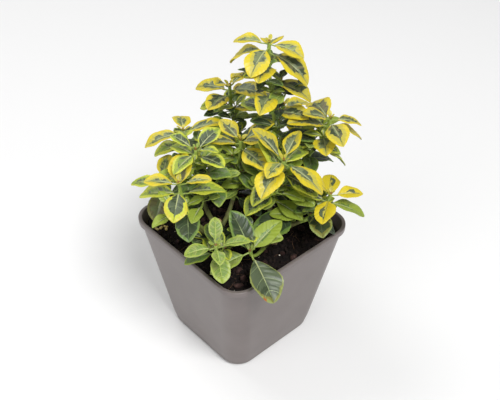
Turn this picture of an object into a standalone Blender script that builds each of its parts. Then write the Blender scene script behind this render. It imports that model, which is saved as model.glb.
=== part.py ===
"""A young gold-variegated wintercreeper euonymus in its square nursery pot.

Metres, +Z up. The origin is the centre of the pot's flat underside, and the pot's sides lie
along X and Y. Three woody cuttings stand in the soil. Thin boughs leave their flanks, and each
carries one leafy shoot, whose leaves stand in pairs, each pair crossing the one below it.
"""

import math
import random
from collections import namedtuple

import bmesh
import bpy
from mathutils import Matrix, Vector
from mathutils.bvhtree import BVHTree

MM = 0.001
CLEARANCE = 0.3 * MM

# Pot
RIM_SIDE = 90 * MM
BASE_SIDE = 64 * MM
POT_HEIGHT = 80 * MM
WALL = 1.2 * MM
CORNER_RADIUS = 12 * MM
FOOT_RADIUS = 2.5 * MM
RIM_BEAD = 0.7 * MM
RIM_BEAD_HEIGHT = 3.5 * MM
RIM_BEAD_STEP = 0.4 * MM
CORNER_SEGMENTS = 4
FOOT_SEGMENTS = 2
HOLE_RADIUS = 3.2 * MM
HOLE_SIDES = 8
HOLE_PLACES = ((1, 1), (1, 0), (1, -1), (0, -1), (-1, -1), (-1, 0), (-1, 1), (0, 1))
HOLE_REACH = 0.62

# Soil
SOIL_BELOW_RIM = 6.5 * MM
SOIL_GRID = 13
SOIL_SLOPE = 0.03
SOIL_HUMP = 0.75 * MM
SOIL_WAVES = ((95, 0.6), (80, -0.4))
SOIL_RIPPLE = (210, -170, 0.6)
SOIL_DIP = 2.5 * MM

# Woody cuttings
CUTTING_HEIGHT = 17 * MM
CUTTING_RADIUS = 1.9 * MM
CUTTING_FLARE = 1.3
CUTTING_HEIGHTS = (0, 0.12, 0.5, 1)
CUTTING_WIDTHS = (CUTTING_FLARE, 1.05, 1.0, 0.9)
CUTTINGS = {"a": (-19 * MM, -2 * MM), "b": (5 * MM, -21 * MM), "c": (21 * MM, 14 * MM)}

# Boughs and shoots
BOUGH_RADIUS = 1.35 * MM
TIP_RADIUS = 0.75 * MM
PATH_POINTS = 48
LIMB_STEP = 7 * MM
TWIG_RADII = (0.75 * MM, 0.7 * MM, 0.65 * MM, 0.5 * MM)
FIRST_SEED = 100
SPROUT_RISE = math.radians(30)
FIRST_PULL = 0.3
LAST_PULL = 0.42
LAST_LEAN = 0.12
SMOOTH_ANGLE = math.radians(40)

# Leaves
PETIOLE = 3.5 * MM
PETIOLE_HALF_WIDTH = 0.55 * MM
BLADE_THICKNESS = 0.7 * MM
WIDTH_SHARE = 0.57
BLADE_SECTIONS = (0.0, 0.27, 0.66)
WIDEST = 0.92
FULLNESS = 0.8
FOLD = math.radians(14)
CROWDED_STEP = 2.5 * MM
OPEN_STEP = 11.5 * MM
CROWDED_PAIRS = 3
APEX_GAP = 1.0 * MM
LOWEST_GAP = 2.5 * MM
# The three crowded pairs' sizes, and how far each is raised, from the tip down.
CROWDED_SIZES = (0.8, 1.0, 1.05)
CROWDED_RAISE = (17, 7, 0)
CROWDED_DROOP = (0.8, 1.0, 1.2)
LOWER_SIZES = (0.85, 1.05)
LOWER_PITCHES = (4, 24)
# A shoot's leaves tilt towards the side to which it leans, fully so at this distance out.
LEAN = math.radians(20)
LEAN_REACH = 45 * MM
# How much a leaf differs from the others: in shares of its sizes, and in radians.
LENGTHS = (0.9, 1.08)
WIDTHS = (0.9, 1.12)
PETIOLES = (0.8, 1.3)
DROOPS = (0.75, 1.25)
TURN_SPREAD = 0.12
AZIMUTH_SPREAD = 0.16
PITCH_SPREAD = 0.14
ROLL_SPREAD = 0.22

# Side twigs
TWIG_FROM = 4
TWIG_REACH = (8 * MM, 13 * MM)
TWIG_RISE = 0.35
TWIG_TURN = (45, 150)
TWIG_TURN_SPREAD = 0.5
TWIG_FOOT = (1 * MM, 2 * MM)
TWIG_BEND = 0.6
TWIG_END = 0.5
TWIG_OUTWARD = 0.7
TWIG_BOW = (0.6, 0.4 * MM)
TWIG_PAIR_STEP = 0.45
SMALL_TWIG_LEAF = (8 * MM, 10.5 * MM)
LARGE_TWIG_LEAF = (11 * MM, 14 * MM)
SMALL_TWIG_POSE = (math.radians(34), math.radians(26))
LARGE_TWIG_POSE = (math.radians(12), math.radians(32))
TEST_MARGIN = 0.45 * MM
# A leaf that would touch a neighbour is tried again, raised and shortened by these.
RETRIES = ((0, 1.0), (16, 0.95), (-14, 0.92), (32, 0.85), (-26, 0.8), (48, 0.7))

Shoot = namedtuple("Shoot", "name cutting bud rise tip bare pairs leaf turn pitch droop twigs")
Leaf = namedtuple("Leaf", "root azimuth pitch droop petiole length width roll")

# bud: the side of the cutting that it leaves, in degrees. rise: how far up the cutting, as a
# share. tip: place in mm, the last number above the rim. bare: the bough's share of the whole
# length. turn: azimuth of the topmost pair. pitch and droop: of the rosette's leaves.
SHOOTS = (
    Shoot("left", "a", 176, 0.62, (-40, 4, 44), 0.34, 4, 19, 134, 8, 32, 2),
    Shoot("left_back", "a", 92, 0.80, (-22, 12, 52), 0.32, 7, 16.5, 100, 12, 32, 3),
    Shoot("front_low", "a", 232, 0.36, (-42, -27, 24), 0.30, 5, 14.5, 62, 12, 36, 1),
    Shoot("middle", "a", 12, 0.66, (5, 7, 48), 0.32, 7, 19, 80, 8, 26, 3),
    Shoot("corner_left", "a", 128, 0.28, (-30, 33, 24), 0.38, 4, 18, 30, 10, 30, 1),
    Shoot("centre_front", "b", 70, 0.85, (8, -23, 50), 0.24, 8, 21.5, 10, 8, 34, 3),
    Shoot("right_front", "b", 318, 0.62, (24, -43, 31), 0.34, 5, 19, 134, 10, 26, 1),
    Shoot("front", "b", 208, 0.34, (-24, -33, 13), 0.36, 2, 26, 355, 2, 32, 1),
    Shoot("right_low", "b", 352, 0.26, (17, -27, 13), 0.30, 2, 25, 270, 2, 30, 1),
    Shoot("tall", "c", 285, 0.90, (24, 7, 100), 0.26, 10, 20, 120, -6, 44, 2),
    Shoot("right", "c", 330, 0.55, (43, -22, 60), 0.30, 8, 20, 150, 4, 36, 3),
    Shoot("back_right", "c", 14, 0.74, (47, 17, 47), 0.28, 7, 20, 80, 6, 34, 3),
    Shoot("back", "c", 70, 0.45, (27, 41, 57), 0.30, 7, 20, 20, 6, 36, 3),
    Shoot("back_left", "c", 142, 0.64, (-8, 40, 43), 0.36, 7, 19.5, 60, 8, 34, 3),
)

COLOURS = {
    "pot_plastic": ((0.20, 0.18, 0.18), 0.45),
    "soil": ((0.035, 0.022, 0.016), 0.95),
    "bark": ((0.16, 0.13, 0.07), 0.75),
    "stem": ((0.19, 0.26, 0.07), 0.6),
    "leaf": ((0.38, 0.44, 0.07), 0.45),
}


def clear_scene():
    """Empties the startup scene."""
    for old in list(bpy.data.objects):
        bpy.data.objects.remove(old, do_unlink=True)


def new_collection(name):
    made = bpy.data.collections.new(name)
    bpy.context.scene.collection.children.link(made)
    return made


def make_materials():
    """One Principled material for each named colour."""
    made = {}
    for name, (colour, roughness) in COLOURS.items():
        material = bpy.data.materials.new(name)
        material.use_nodes = True
        shader = material.node_tree.nodes["Principled BSDF"]
        shader.inputs["Base Color"].default_value = (*colour, 1.0)
        shader.inputs["Roughness"].default_value = roughness
        made[name] = material
    return made


def new_object(name, mesh, collection):
    made = bpy.data.objects.new(name, mesh)
    collection.objects.link(made)
    return made


def mesh_from(name, bm):
    mesh = bpy.data.meshes.new(name)
    bmesh.ops.recalc_face_normals(bm, faces=bm.faces)
    bm.to_mesh(mesh)
    bm.free()
    return mesh


def direction(azimuth, elevation):
    """The unit vector at this azimuth and elevation, both in radians."""
    flat = math.cos(elevation)
    return Vector((flat * math.cos(azimuth), flat * math.sin(azimuth), math.sin(elevation)))


# Pot and soil


def wall_half(z):
    """The pot's outer half side at height z."""
    return (BASE_SIDE + (RIM_SIDE - 2 * RIM_BEAD - BASE_SIDE) * z / POT_HEIGHT) / 2


def tapered_block(bottom_half, top_half, height):
    """A cube drawn out to a tapered block that stands on Z = 0."""
    bm = bmesh.new()
    bmesh.ops.create_cube(bm, size=2)
    for v in bm.verts:
        half = top_half if v.co.z > 0 else bottom_half
        v.co = Vector((v.co.x * half, v.co.y * half, height if v.co.z > 0 else 0))
    return bm


def bevel_where(bm, wanted, width, segments):
    edges = [e for e in bm.edges if wanted(*(v.co for v in e.verts))]
    bmesh.ops.bevel(
        bm, geom=edges, offset=width, segments=segments, profile=0.5, affect="EDGES"
    )


def swell_rim(bm):
    """Draws the open top edge out into a low bead that ends at the rim's full side."""
    rim = [e for e in bm.edges if e.is_boundary]
    for v in {v for e in rim for v in e.verts}:
        v.co.z -= RIM_BEAD_HEIGHT
    for outward, upward in ((RIM_BEAD, RIM_BEAD_STEP), (0, RIM_BEAD_HEIGHT - RIM_BEAD_STEP)):
        made = bmesh.ops.extrude_edge_only(bm, edges=rim)["geom"]
        rim = [e for e in made if isinstance(e, bmesh.types.BMEdge) and e.is_boundary]
        for v in {v for e in rim for v in e.verts}:
            v.co.x += math.copysign(outward, v.co.x)
            v.co.y += math.copysign(outward, v.co.y)
            v.co.z += upward


def make_pot(parts, cutters, materials):
    bm = tapered_block(BASE_SIDE / 2, wall_half(POT_HEIGHT), POT_HEIGHT)
    bmesh.ops.delete(bm, geom=[f for f in bm.faces if f.normal.z > 0.9], context="FACES_ONLY")
    bevel_where(bm, lambda a, b: abs(a.z - b.z) > POT_HEIGHT / 2, CORNER_RADIUS, CORNER_SEGMENTS)
    bevel_where(bm, lambda a, b: max(a.z, b.z) < MM, FOOT_RADIUS, FOOT_SEGMENTS)
    swell_rim(bm)
    pot = new_object("pot", mesh_from("pot", bm), parts)
    pot.data.materials.append(materials["pot_plastic"])
    solidify = pot.modifiers.new("wall", "SOLIDIFY")
    solidify.thickness = WALL
    solidify.offset = -1
    solidify.use_even_offset = True
    drill = pot.modifiers.new("drain_holes", "BOOLEAN")
    drill.operation = "DIFFERENCE"
    drill.operand_type = "COLLECTION"
    drill.collection = cutters
    for i, (x, y) in enumerate(HOLE_PLACES):
        add_drain_cutter(f"drain_{i}", x, y, cutters)
    pot.data.shade_smooth()
    pot.data.set_sharp_from_angle(angle=SMOOTH_ANGLE)
    return pot


def add_drain_cutter(name, x, y, cutters):
    bm = bmesh.new()
    round_size = {"radius1": HOLE_RADIUS, "radius2": HOLE_RADIUS, "depth": 6 * WALL}
    bmesh.ops.create_cone(bm, cap_ends=True, segments=HOLE_SIDES, **round_size)
    cutter = new_object(name, mesh_from(name, bm), cutters)
    reach = HOLE_REACH * BASE_SIDE / 2
    cutter.location = (x * reach, y * reach, 0)
    cutter.hide_render = True
    cutter.display_type = "WIRE"


def soil_top(x, y):
    """The soil's height at a place: higher at the left corner, with gentle humps."""
    (x_wave, x_shift), (y_wave, y_shift) = SOIL_WAVES
    humps = math.sin(x * x_wave + x_shift) * math.cos(y * y_wave + y_shift)
    x_ripple, y_ripple, ripple = SOIL_RIPPLE
    humps += ripple * math.sin(x * x_ripple + y * y_ripple)
    return POT_HEIGHT - SOIL_BELOW_RIM + SOIL_SLOPE * (y - x) / 2 + SOIL_HUMP * humps


def rounded_square(u, v, radius_share):
    """Maps a point of the square from -1 to 1 to the square with round corners."""
    ring = max(abs(u), abs(v))
    if ring == 0:
        return 0.0, 0.0
    x, y = u / ring, v / ring
    inner = 1 - radius_share
    cx = min(max(x, -inner), inner)
    cy = min(max(y, -inner), inner)
    dx, dy = x - cx, y - cy
    if dx and dy:
        stretch = radius_share / math.hypot(dx, dy)
        dx, dy = dx * stretch, dy * stretch
    return ring * (cx + dx), ring * (cy + dy)


def make_soil(parts, materials):
    """A grid pressed to the pot's round-cornered outline, humped, and drawn down to the floor."""
    top_half = wall_half(POT_HEIGHT - SOIL_BELOW_RIM - SOIL_DIP) - WALL - 2 * CLEARANCE
    floor = WALL + CLEARANCE
    floor_half = wall_half(floor) - WALL - FOOT_RADIUS - CLEARANCE
    bm = bmesh.new()
    bmesh.ops.create_grid(bm, x_segments=SOIL_GRID, y_segments=SOIL_GRID, size=1)
    for v in bm.verts:
        x, y = rounded_square(v.co.x, v.co.y, CORNER_RADIUS / top_half)
        v.co = Vector((x * top_half, y * top_half, 0))
        v.co.z = soil_top(v.co.x, v.co.y)
    edge = [e for e in bm.edges if e.is_boundary]
    made = bmesh.ops.extrude_edge_only(bm, edges=edge)["geom"]
    low = [v for v in made if isinstance(v, bmesh.types.BMVert)]
    for v in low:
        v.co = Vector((v.co.x * floor_half / top_half, v.co.y * floor_half / top_half, floor))
    bmesh.ops.holes_fill(bm, edges=[e for e in bm.edges if e.is_boundary], sides=0)
    soil = new_object("soil", mesh_from("soil", bm), parts)
    soil.data.materials.append(materials["soil"])
    return soil


# Limbs


def tube(name, points, radii, collection, material, sides=1):
    """A tapering limb: a curve with round sections, made a closed mesh."""
    curve = bpy.data.curves.new(name, "CURVE")
    curve.dimensions = "3D"
    curve.bevel_depth = 1.0
    curve.bevel_resolution = sides
    curve.use_fill_caps = True
    spline = curve.splines.new("POLY")
    spline.points.add(len(points) - 1)
    for slot, point, radius in zip(spline.points, points, radii):
        slot.co = (*point, 1.0)
        slot.radius = radius
    drawn = new_object(name + "_line", curve, collection)
    graph = bpy.context.evaluated_depsgraph_get()
    mesh = bpy.data.meshes.new_from_object(drawn.evaluated_get(graph))
    bpy.data.objects.remove(drawn)
    bm = bmesh.new()
    bm.from_mesh(mesh)
    bmesh.ops.remove_doubles(bm, verts=bm.verts, dist=1e-6)
    limb = new_object(name, mesh_from(name, bm), collection)
    limb.data.materials.append(material)
    limb.data.shade_smooth()
    limb.data.set_sharp_from_angle(angle=SMOOTH_ANGLE)
    return limb


def make_cutting(key, parts, materials):
    """One woody cutting, from its flat cut on the soil to its cut top."""
    x, y = CUTTINGS[key]
    reach = CUTTING_FLARE * CUTTING_RADIUS
    foot = CLEARANCE + max(soil_top(x + dx * reach, y + dy * reach) for dx, dy in HOLE_PLACES)
    points = [Vector((x, y, foot + CUTTING_HEIGHT * t)) for t in CUTTING_HEIGHTS]
    radii = [CUTTING_RADIUS * k for k in CUTTING_WIDTHS]
    return tube(f"cutting_{key}", points, radii, parts, materials["bark"], sides=2)


def bud_point(shoot):
    """Where a shoot's path leaves the flank of its cutting, and the way that it sets out."""
    x, y = CUTTINGS[shoot.cutting]
    out = direction(math.radians(shoot.bud), 0)
    base = Vector((x, y, soil_top(x, y) + CUTTING_HEIGHT * shoot.rise))
    tilted_end = BOUGH_RADIUS * math.sin(SPROUT_RISE)
    off_axis = CUTTING_RADIUS * CUTTING_WIDTHS[1] + tilted_end + CLEARANCE
    return base + out * off_axis, direction(math.radians(shoot.bud), SPROUT_RISE)


def shoot_path(shoot):
    """The shoot's line from its bud to its tip, as evenly spaced points of a smooth curve."""
    start, sets_out = bud_point(shoot)
    x, y, above = shoot.tip
    end = Vector((x * MM, y * MM, POT_HEIGHT + above * MM))
    reach = (end - start).length
    lean = Vector((end.x - start.x, end.y - start.y, 0)) * LAST_LEAN
    control_1 = start + sets_out * reach * FIRST_PULL
    control_2 = end - (Vector((0, 0, reach * LAST_PULL)) + lean)
    rough = []
    for i in range(4 * PATH_POINTS + 1):
        t = i / (4 * PATH_POINTS)
        rough.append(
            start * (1 - t) ** 3
            + control_1 * 3 * t * (1 - t) ** 2
            + control_2 * 3 * t * t * (1 - t)
            + end * t**3
        )
    return even_points(rough, PATH_POINTS)


def even_points(rough, count):
    """Points at even distances along a line of many short steps."""
    reached = [0.0]
    for a, b in zip(rough, rough[1:]):
        reached.append(reached[-1] + (b - a).length)
    points, i = [], 0
    for k in range(count + 1):
        wanted = reached[-1] * k / count
        while i < len(rough) - 2 and reached[i + 1] < wanted:
            i += 1
        share = (wanted - reached[i]) / (reached[i + 1] - reached[i])
        points.append(rough[i].lerp(rough[i + 1], share))
    return points


def line_length(path):
    return sum((b - a).length for a, b in zip(path, path[1:]))


def along(path, distance):
    """The point at this distance along an evenly spaced path, and the path's way there."""
    step = line_length(path) / (len(path) - 1)
    i = min(int(distance / step), len(path) - 2)
    way = path[i + 1] - path[i]
    return path[i] + way * (distance / step - i), way.normalized()


def stretch_of(path, start, end, radius_1, radius_2):
    """Points and radii of the path's stretch between two distances."""
    count = max(2, round((end - start) / LIMB_STEP) + 1)
    shares = [i / (count - 1) for i in range(count)]
    points = [along(path, start + (end - start) * t)[0] for t in shares]
    return points, [radius_1 + (radius_2 - radius_1) * t for t in shares]


def radius_at(shoot, share):
    return BOUGH_RADIUS + (TIP_RADIUS - BOUGH_RADIUS) * share


def make_bough(shoot, parts, materials):
    path = shoot_path(shoot)
    end = shoot.bare * line_length(path)
    points, radii = stretch_of(path, 0, end, radius_at(shoot, 0), radius_at(shoot, shoot.bare))
    return tube(f"bough_{shoot.name}", points, radii, parts, materials["stem"])


# Leaves


def half_width(width, t):
    """The blade's half width at share t of its length."""
    return max(width / 2 * math.sin(math.pi * t**WIDEST) ** FULLNESS, 0.0) if 0 < t < 1 else 0.0


def midrib(leaf, t):
    """The midrib's point at share t of the blade, with the ways forward, sideways and up."""
    bend = leaf.droop / leaf.length
    start = leaf.root + direction(leaf.azimuth, leaf.pitch) * leaf.petiole
    elevation = leaf.pitch - leaf.droop * t
    run = (math.sin(leaf.pitch) - math.sin(elevation)) / bend
    rise = (math.cos(elevation) - math.cos(leaf.pitch)) / bend
    point = start + direction(leaf.azimuth, 0) * run + Vector((0, 0, rise))
    forward = direction(leaf.azimuth, elevation)
    turn = Matrix.Rotation(leaf.roll, 3, forward)
    side = turn @ direction(leaf.azimuth + math.pi / 2, 0)
    return point, forward, side, side.cross(forward) * -1


def leaf_section(point, side, up, half, lift, thick):
    """Left edge, upper midrib, right edge and lower midrib."""
    return (
        point + side * half + up * lift,
        point + up * thick,
        point - side * half + up * lift,
        point - up * thick,
    )


def leaf_sections(leaf, swell=0.0):
    """The leaf's cross-sections from its root to near its tip, and its tip."""
    thick = BLADE_THICKNESS / 2 + swell
    stalk = PETIOLE_HALF_WIDTH + swell
    _, _, side, up = midrib(leaf, 0)
    sections = [leaf_section(leaf.root, side, up, stalk, 0, stalk)]
    for t in BLADE_SECTIONS:
        point, _, side, up = midrib(leaf, t)
        half = max(half_width(leaf.width, t), PETIOLE_HALF_WIDTH) + swell
        lift = math.sin(FOLD) * (half - PETIOLE_HALF_WIDTH)
        sections.append(leaf_section(point, side, up, half, lift, thick if t else stalk))
    point, forward, _, _ = midrib(leaf, 1)
    return sections, point + forward * swell


def leaf_bmesh(leaf, swell=0.0):
    """The leaf as a closed loft of diamond sections that ends in a point."""
    sections, tip = leaf_sections(leaf, swell)
    bm = bmesh.new()
    rings = [[bm.verts.new(p) for p in section] for section in sections]
    last = bm.verts.new(tip)
    bm.faces.new(rings[0])
    for ring, following in zip(rings, rings[1:]):
        for i in range(4):
            j = (i + 1) % 4
            bm.faces.new((ring[i], ring[j], following[j], following[i]))
    for i in range(4):
        bm.faces.new((rings[-1][i], rings[-1][(i + 1) % 4], last))
    bmesh.ops.recalc_face_normals(bm, faces=bm.faces)
    return bm


def tree_of(bm):
    tree = BVHTree.FromBMesh(bm)
    bm.free()
    return tree


def tree_of_object(made):
    graph = bpy.context.evaluated_depsgraph_get()
    bm = bmesh.new()
    bm.from_object(made, graph)
    return tree_of(bm)


def touches(tree, others):
    return any(tree.overlap(other) for other in others)


def fitted_leaf(leaf, others):
    """The leaf, or the first raised or shortened form of it that is clear of the others."""
    for lift, size in RETRIES:
        pitch = leaf.pitch + math.radians(lift)
        tried = leaf._replace(pitch=pitch, length=leaf.length * size, width=leaf.width * size)
        if not touches(tree_of(leaf_bmesh(tried, TEST_MARGIN)), others):
            return tried
    return None


# Shoots


def pair_distances(shoot, length):
    """Where the pairs stand, as distances back from the shoot's tip: crowded, then open."""
    places, back = [], APEX_GAP
    for k in range(shoot.pairs):
        places.append(back)
        back += CROWDED_STEP * (1 + 0.5 * k) if k < CROWDED_PAIRS - 1 else OPEN_STEP
    room = length * (1 - shoot.bare) - LOWEST_GAP
    shrink = min(1.0, room / places[-1])
    return [place * shrink for place in places]


def pair_leaves(root, azimuth, pitch, droop, length, rng):
    """The two leaves of a pair, opposite each other, each a little its own."""
    pair = []
    for half_turn in (0, math.pi):
        size = length * rng.uniform(*LENGTHS)
        leaf = Leaf(
            root,
            azimuth + half_turn + rng.uniform(-AZIMUTH_SPREAD, AZIMUTH_SPREAD),
            pitch + rng.uniform(-PITCH_SPREAD, PITCH_SPREAD),
            droop * rng.uniform(*DROOPS),
            PETIOLE * rng.uniform(*PETIOLES),
            size,
            size * WIDTH_SHARE * rng.uniform(*WIDTHS),
            rng.uniform(-ROLL_SPREAD, ROLL_SPREAD),
        )
        pair.append(leaf)
    return pair


def leaned(leaf, shoot):
    """The leaf, lowered on the side to which its shoot leans and raised on the other."""
    x, y, _ = shoot.tip
    lean = LEAN * min(1, math.hypot(x, y) * MM / LEAN_REACH)
    return leaf._replace(pitch=leaf.pitch - lean * math.cos(leaf.azimuth - math.atan2(y, x)))


def shoot_pairs(shoot, path, rng):
    """The main stem's pairs from the tip down: small and raised first, then full and spread."""
    length = line_length(path)
    pairs = []
    for k, back in enumerate(pair_distances(shoot, length)):
        root, _ = along(path, length - back)
        azimuth = math.radians(shoot.turn + 90 * k) + rng.uniform(-TURN_SPREAD, TURN_SPREAD)
        crowded = k < CROWDED_PAIRS
        size = shoot.leaf * MM * (CROWDED_SIZES[k] if crowded else rng.uniform(*LOWER_SIZES))
        pitch = shoot.pitch + CROWDED_RAISE[k] if crowded else rng.uniform(*LOWER_PITCHES)
        droop = math.radians(shoot.droop * CROWDED_DROOP[min(k, CROWDED_PAIRS - 1)])
        pair = pair_leaves(root, azimuth, math.radians(pitch), droop, size, rng)
        pairs.append([leaned(leaf, shoot) for leaf in pair])
    return pairs


def twig_line(shoot, path, k, rng):
    """A side twig from the axil of a lower pair: it leaves at a slant and turns up."""
    length = line_length(path)
    spots = pair_distances(shoot, length)
    spot = spots[min(TWIG_FROM + k, len(spots) - 1)]
    root, way = along(path, length - spot - TWIG_FOOT[0] - TWIG_FOOT[1] * k)
    side = math.radians(shoot.turn + TWIG_TURN[0] + TWIG_TURN[1] * k)
    side += rng.uniform(-TWIG_TURN_SPREAD, TWIG_TURN_SPREAD)
    out = direction(side, TWIG_RISE)
    reach = rng.uniform(*TWIG_REACH)
    bend = root + out * reach * TWIG_BEND
    end = bend + (way + out * TWIG_OUTWARD).normalized() * reach * TWIG_END
    return [root, root.lerp(bend, TWIG_BOW[0]) + way * TWIG_BOW[1], bend, end]


def twig_pairs(line, rng):
    """Two small pairs at a twig's end."""
    end, before = line[-1], line[-2]
    turn = rng.uniform(0, math.pi)
    lower = end.lerp(before, TWIG_PAIR_STEP)
    small = rng.uniform(*SMALL_TWIG_LEAF)
    large = rng.uniform(*LARGE_TWIG_LEAF)
    return [
        pair_leaves(end, turn, *SMALL_TWIG_POSE, small, rng),
        pair_leaves(lower, turn + math.pi / 2, *LARGE_TWIG_POSE, large, rng),
    ]


def fuse(name, stem, pieces, parts, material):
    """The stem with its twigs and leaves, joined into one closed body."""
    union = stem.modifiers.new("union", "BOOLEAN")
    union.operation = "UNION"
    union.operand_type = "COLLECTION"
    union.collection = pieces
    graph = bpy.context.evaluated_depsgraph_get()
    mesh = bpy.data.meshes.new_from_object(stem.evaluated_get(graph))
    for piece in [*pieces.objects, stem]:
        bpy.data.objects.remove(piece, do_unlink=True)
    bpy.data.collections.remove(pieces)
    mesh.name = name
    fused = new_object(name, mesh, parts)
    mesh.materials.clear()
    mesh.materials.append(material)
    return fused


def make_stem(shoot, parts, materials):
    """The leafy part of a shoot's line, which starts just clear of the bough's end."""
    path = shoot_path(shoot)
    length = line_length(path)
    start = shoot.bare * length + CLEARANCE
    points, radii = stretch_of(path, start, length, radius_at(shoot, shoot.bare), TIP_RADIUS)
    return tube(f"stem_{shoot.name}", points, radii, parts, materials["leaf"])


def add_twigs(shoot, path, rng, pieces, others, material):
    """The side twigs that are clear of the others: their trees, and the pairs they carry."""
    trees, pairs = [], []
    for k in range(shoot.twigs):
        line = twig_line(shoot, path, k, rng)
        carried = twig_pairs(line, rng)
        twig = tube(f"twig_{k}", line, TWIG_RADII, pieces, material)
        tree = tree_of_object(twig)
        if touches(tree, others):
            bpy.data.objects.remove(twig, do_unlink=True)
            continue
        trees.append(tree)
        pairs += carried
    return trees, pairs


def dress_stem(index, shoot, stem, parts, material, others):
    """Fuses side twigs and leaves to a stem, each clear of the others, and gives their trees."""
    rng = random.Random(FIRST_SEED + index)
    path = shoot_path(shoot)
    pieces = new_collection(f"pieces_{shoot.name}")
    pairs = shoot_pairs(shoot, path, rng)
    taken, twig_leaves = add_twigs(shoot, path, rng, pieces, others, material)
    for leaf in [leaf for pair in pairs + twig_leaves for leaf in pair]:
        fitted = fitted_leaf(leaf, others)
        if fitted is None:
            continue
        new_object("leaf", mesh_from("leaf", leaf_bmesh(fitted)), pieces)
        taken.append(tree_of(leaf_bmesh(fitted)))
    fuse(f"shoot_{shoot.name}", stem, pieces, parts, material)
    return taken


def main():
    clear_scene()
    parts = new_collection("wintercreeper_euonymus")
    cutters = new_collection("cutters")
    materials = make_materials()
    fixed = [make_pot(parts, cutters, materials), make_soil(parts, materials)]
    fixed += [make_cutting(key, parts, materials) for key in CUTTINGS]
    fixed += [make_bough(shoot, parts, materials) for shoot in SHOOTS]
    stems = [make_stem(shoot, parts, materials) for shoot in SHOOTS]
    bpy.context.view_layer.update()
    taken = [tree_of_object(made) for made in fixed]
    stem_trees = [tree_of_object(stem) for stem in stems]
    for index, (shoot, stem) in enumerate(zip(SHOOTS, stems)):
        others = taken + stem_trees[:index] + stem_trees[index + 1 :]
        taken += dress_stem(index, shoot, stem, parts, materials["leaf"], others)


main()
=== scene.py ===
"""The looks of a young gold-variegated wintercreeper euonymus in its square nursery pot.

Everything is in metres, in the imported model's frame: +Z up, the origin under the middle of the
pot, and the pot's sides along X and Y. Shoots, side twigs and leaves grow by the rule that made
the solids, each leaf where its solid stands, and finer growth is added within the same reach.
"""

import math
import random
from collections import namedtuple

import bmesh
import bpy
import numpy as np
from mathutils import Euler, Matrix, Vector, noise
from mathutils.kdtree import KDTree


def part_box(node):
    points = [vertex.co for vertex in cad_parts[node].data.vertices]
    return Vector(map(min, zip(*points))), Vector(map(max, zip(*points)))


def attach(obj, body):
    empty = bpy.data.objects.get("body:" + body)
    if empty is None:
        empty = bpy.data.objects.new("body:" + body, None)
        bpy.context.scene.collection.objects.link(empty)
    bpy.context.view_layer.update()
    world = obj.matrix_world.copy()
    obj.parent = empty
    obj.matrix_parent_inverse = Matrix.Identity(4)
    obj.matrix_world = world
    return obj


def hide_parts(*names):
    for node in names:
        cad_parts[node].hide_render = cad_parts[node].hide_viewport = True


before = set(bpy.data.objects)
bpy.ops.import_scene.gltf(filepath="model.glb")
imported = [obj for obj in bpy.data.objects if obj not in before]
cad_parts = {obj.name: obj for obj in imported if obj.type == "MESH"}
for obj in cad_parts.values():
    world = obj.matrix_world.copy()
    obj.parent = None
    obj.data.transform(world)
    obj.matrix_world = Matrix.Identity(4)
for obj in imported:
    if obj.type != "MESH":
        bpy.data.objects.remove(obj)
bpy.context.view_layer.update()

MM = 0.001
UP = np.array((0.0, 0.0, 1.0))

# Pot
RIM_SIDE = 90 * MM
BASE_SIDE = 64 * MM
POT_HEIGHT = 80 * MM
WALL = 1.2 * MM
CORNER_RADIUS = 12 * MM
INNER_CORNER_RADIUS = 4 * MM
FOOT_RADIUS = 2.5 * MM
RIM_BEAD = 0.7 * MM
RIM_BEAD_HEIGHT = 3.5 * MM
BELOW_BEAD = 0.6 * MM
LIP_RADIUS = 0.45 * MM
CORNER_STEPS = 14
WALL_STEPS = 16
ROUND_STEPS = 6
LIP_STEPS = 4
SHORT_STEPS = 3
HOLE_RADIUS = 3.2 * MM
HOLE_SIDES = 28
HOLE_PLACES = ((1, 1), (1, 0), (1, -1), (0, -1), (-1, -1), (-1, 0), (-1, 1), (0, 1))
HOLE_REACH = 0.62

# Soil
SOIL_BELOW_RIM = 6.5 * MM
SOIL_SLOPE = 0.03
SOIL_HUMP = 0.75 * MM
SOIL_WAVES = ((95, 0.6), (80, -0.4))
SOIL_RIPPLE = (210, -170, 0.6)
SOIL_DIP = 2.5 * MM
SOIL_GRID = 150
SOIL_GAP = 0.5 * MM
# Its lumps, by noise: cycles a metre, a place in the noise, and the height.
SOIL_LUMPS = ((260, 3, 0.55 * MM), (800, 7, 0.3 * MM))

# Grains. sizes: the least and the largest half length. stretch: the half lengths as shares of it.
# rough: how dented it is. square: 1 for a round grain, and less for a blocky one.
Grains = namedtuple("Grains", "count sizes stretch rough square seed")
CRUMBS = Grains(1500, (0.5 * MM, 1.7 * MM), (1, 0.85, 0.7), 0.14, 0.9, 41)
CHIPS = Grains(90, (1.6 * MM, 4.6 * MM), (1, 0.55, 0.26), 0.17, 0.6, 43)
SPECKS = Grains(60, (0.2 * MM, 0.75 * MM), (1, 0.9, 0.8), 0.12, 0.8, 47)
WALL_CRUMBS = Grains(150, (0.25 * MM, 0.7 * MM), (1, 0.8, 0.7), 0.16, 1, 31)
FEED = Grains(13, (0.68 * MM, 0.935 * MM), (1, 1, 0.94), 0.004, 1, 12)
GRAIN_STRETCHES = (0.5, 1.2)
GRAIN_RISE = (0.0, 0.7)
WALL_CRUMB_REACH = SOIL_BELOW_RIM - 1.4 * MM
WALL_CRUMB_THINNING = 1.6
WALL_CRUMB_SUNK = 0.5
FEED_STRAYS = 4
FEED_MARGIN = 2 * MM
FEED_CLUSTER = (-36.5 * MM, 27 * MM)
FEED_SPREAD = 3.4 * MM
FEED_RISE = 0.8
FIBRES = 60
FIBRE_SEED = 23
FIBRE_MARGIN = 6 * MM
FIBRE_REACH = (4 * MM, 11 * MM)
FIBRE_RADIUS = 0.13 * MM
FIBRE_WIDTHS = (0.6, 1.3)
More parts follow.
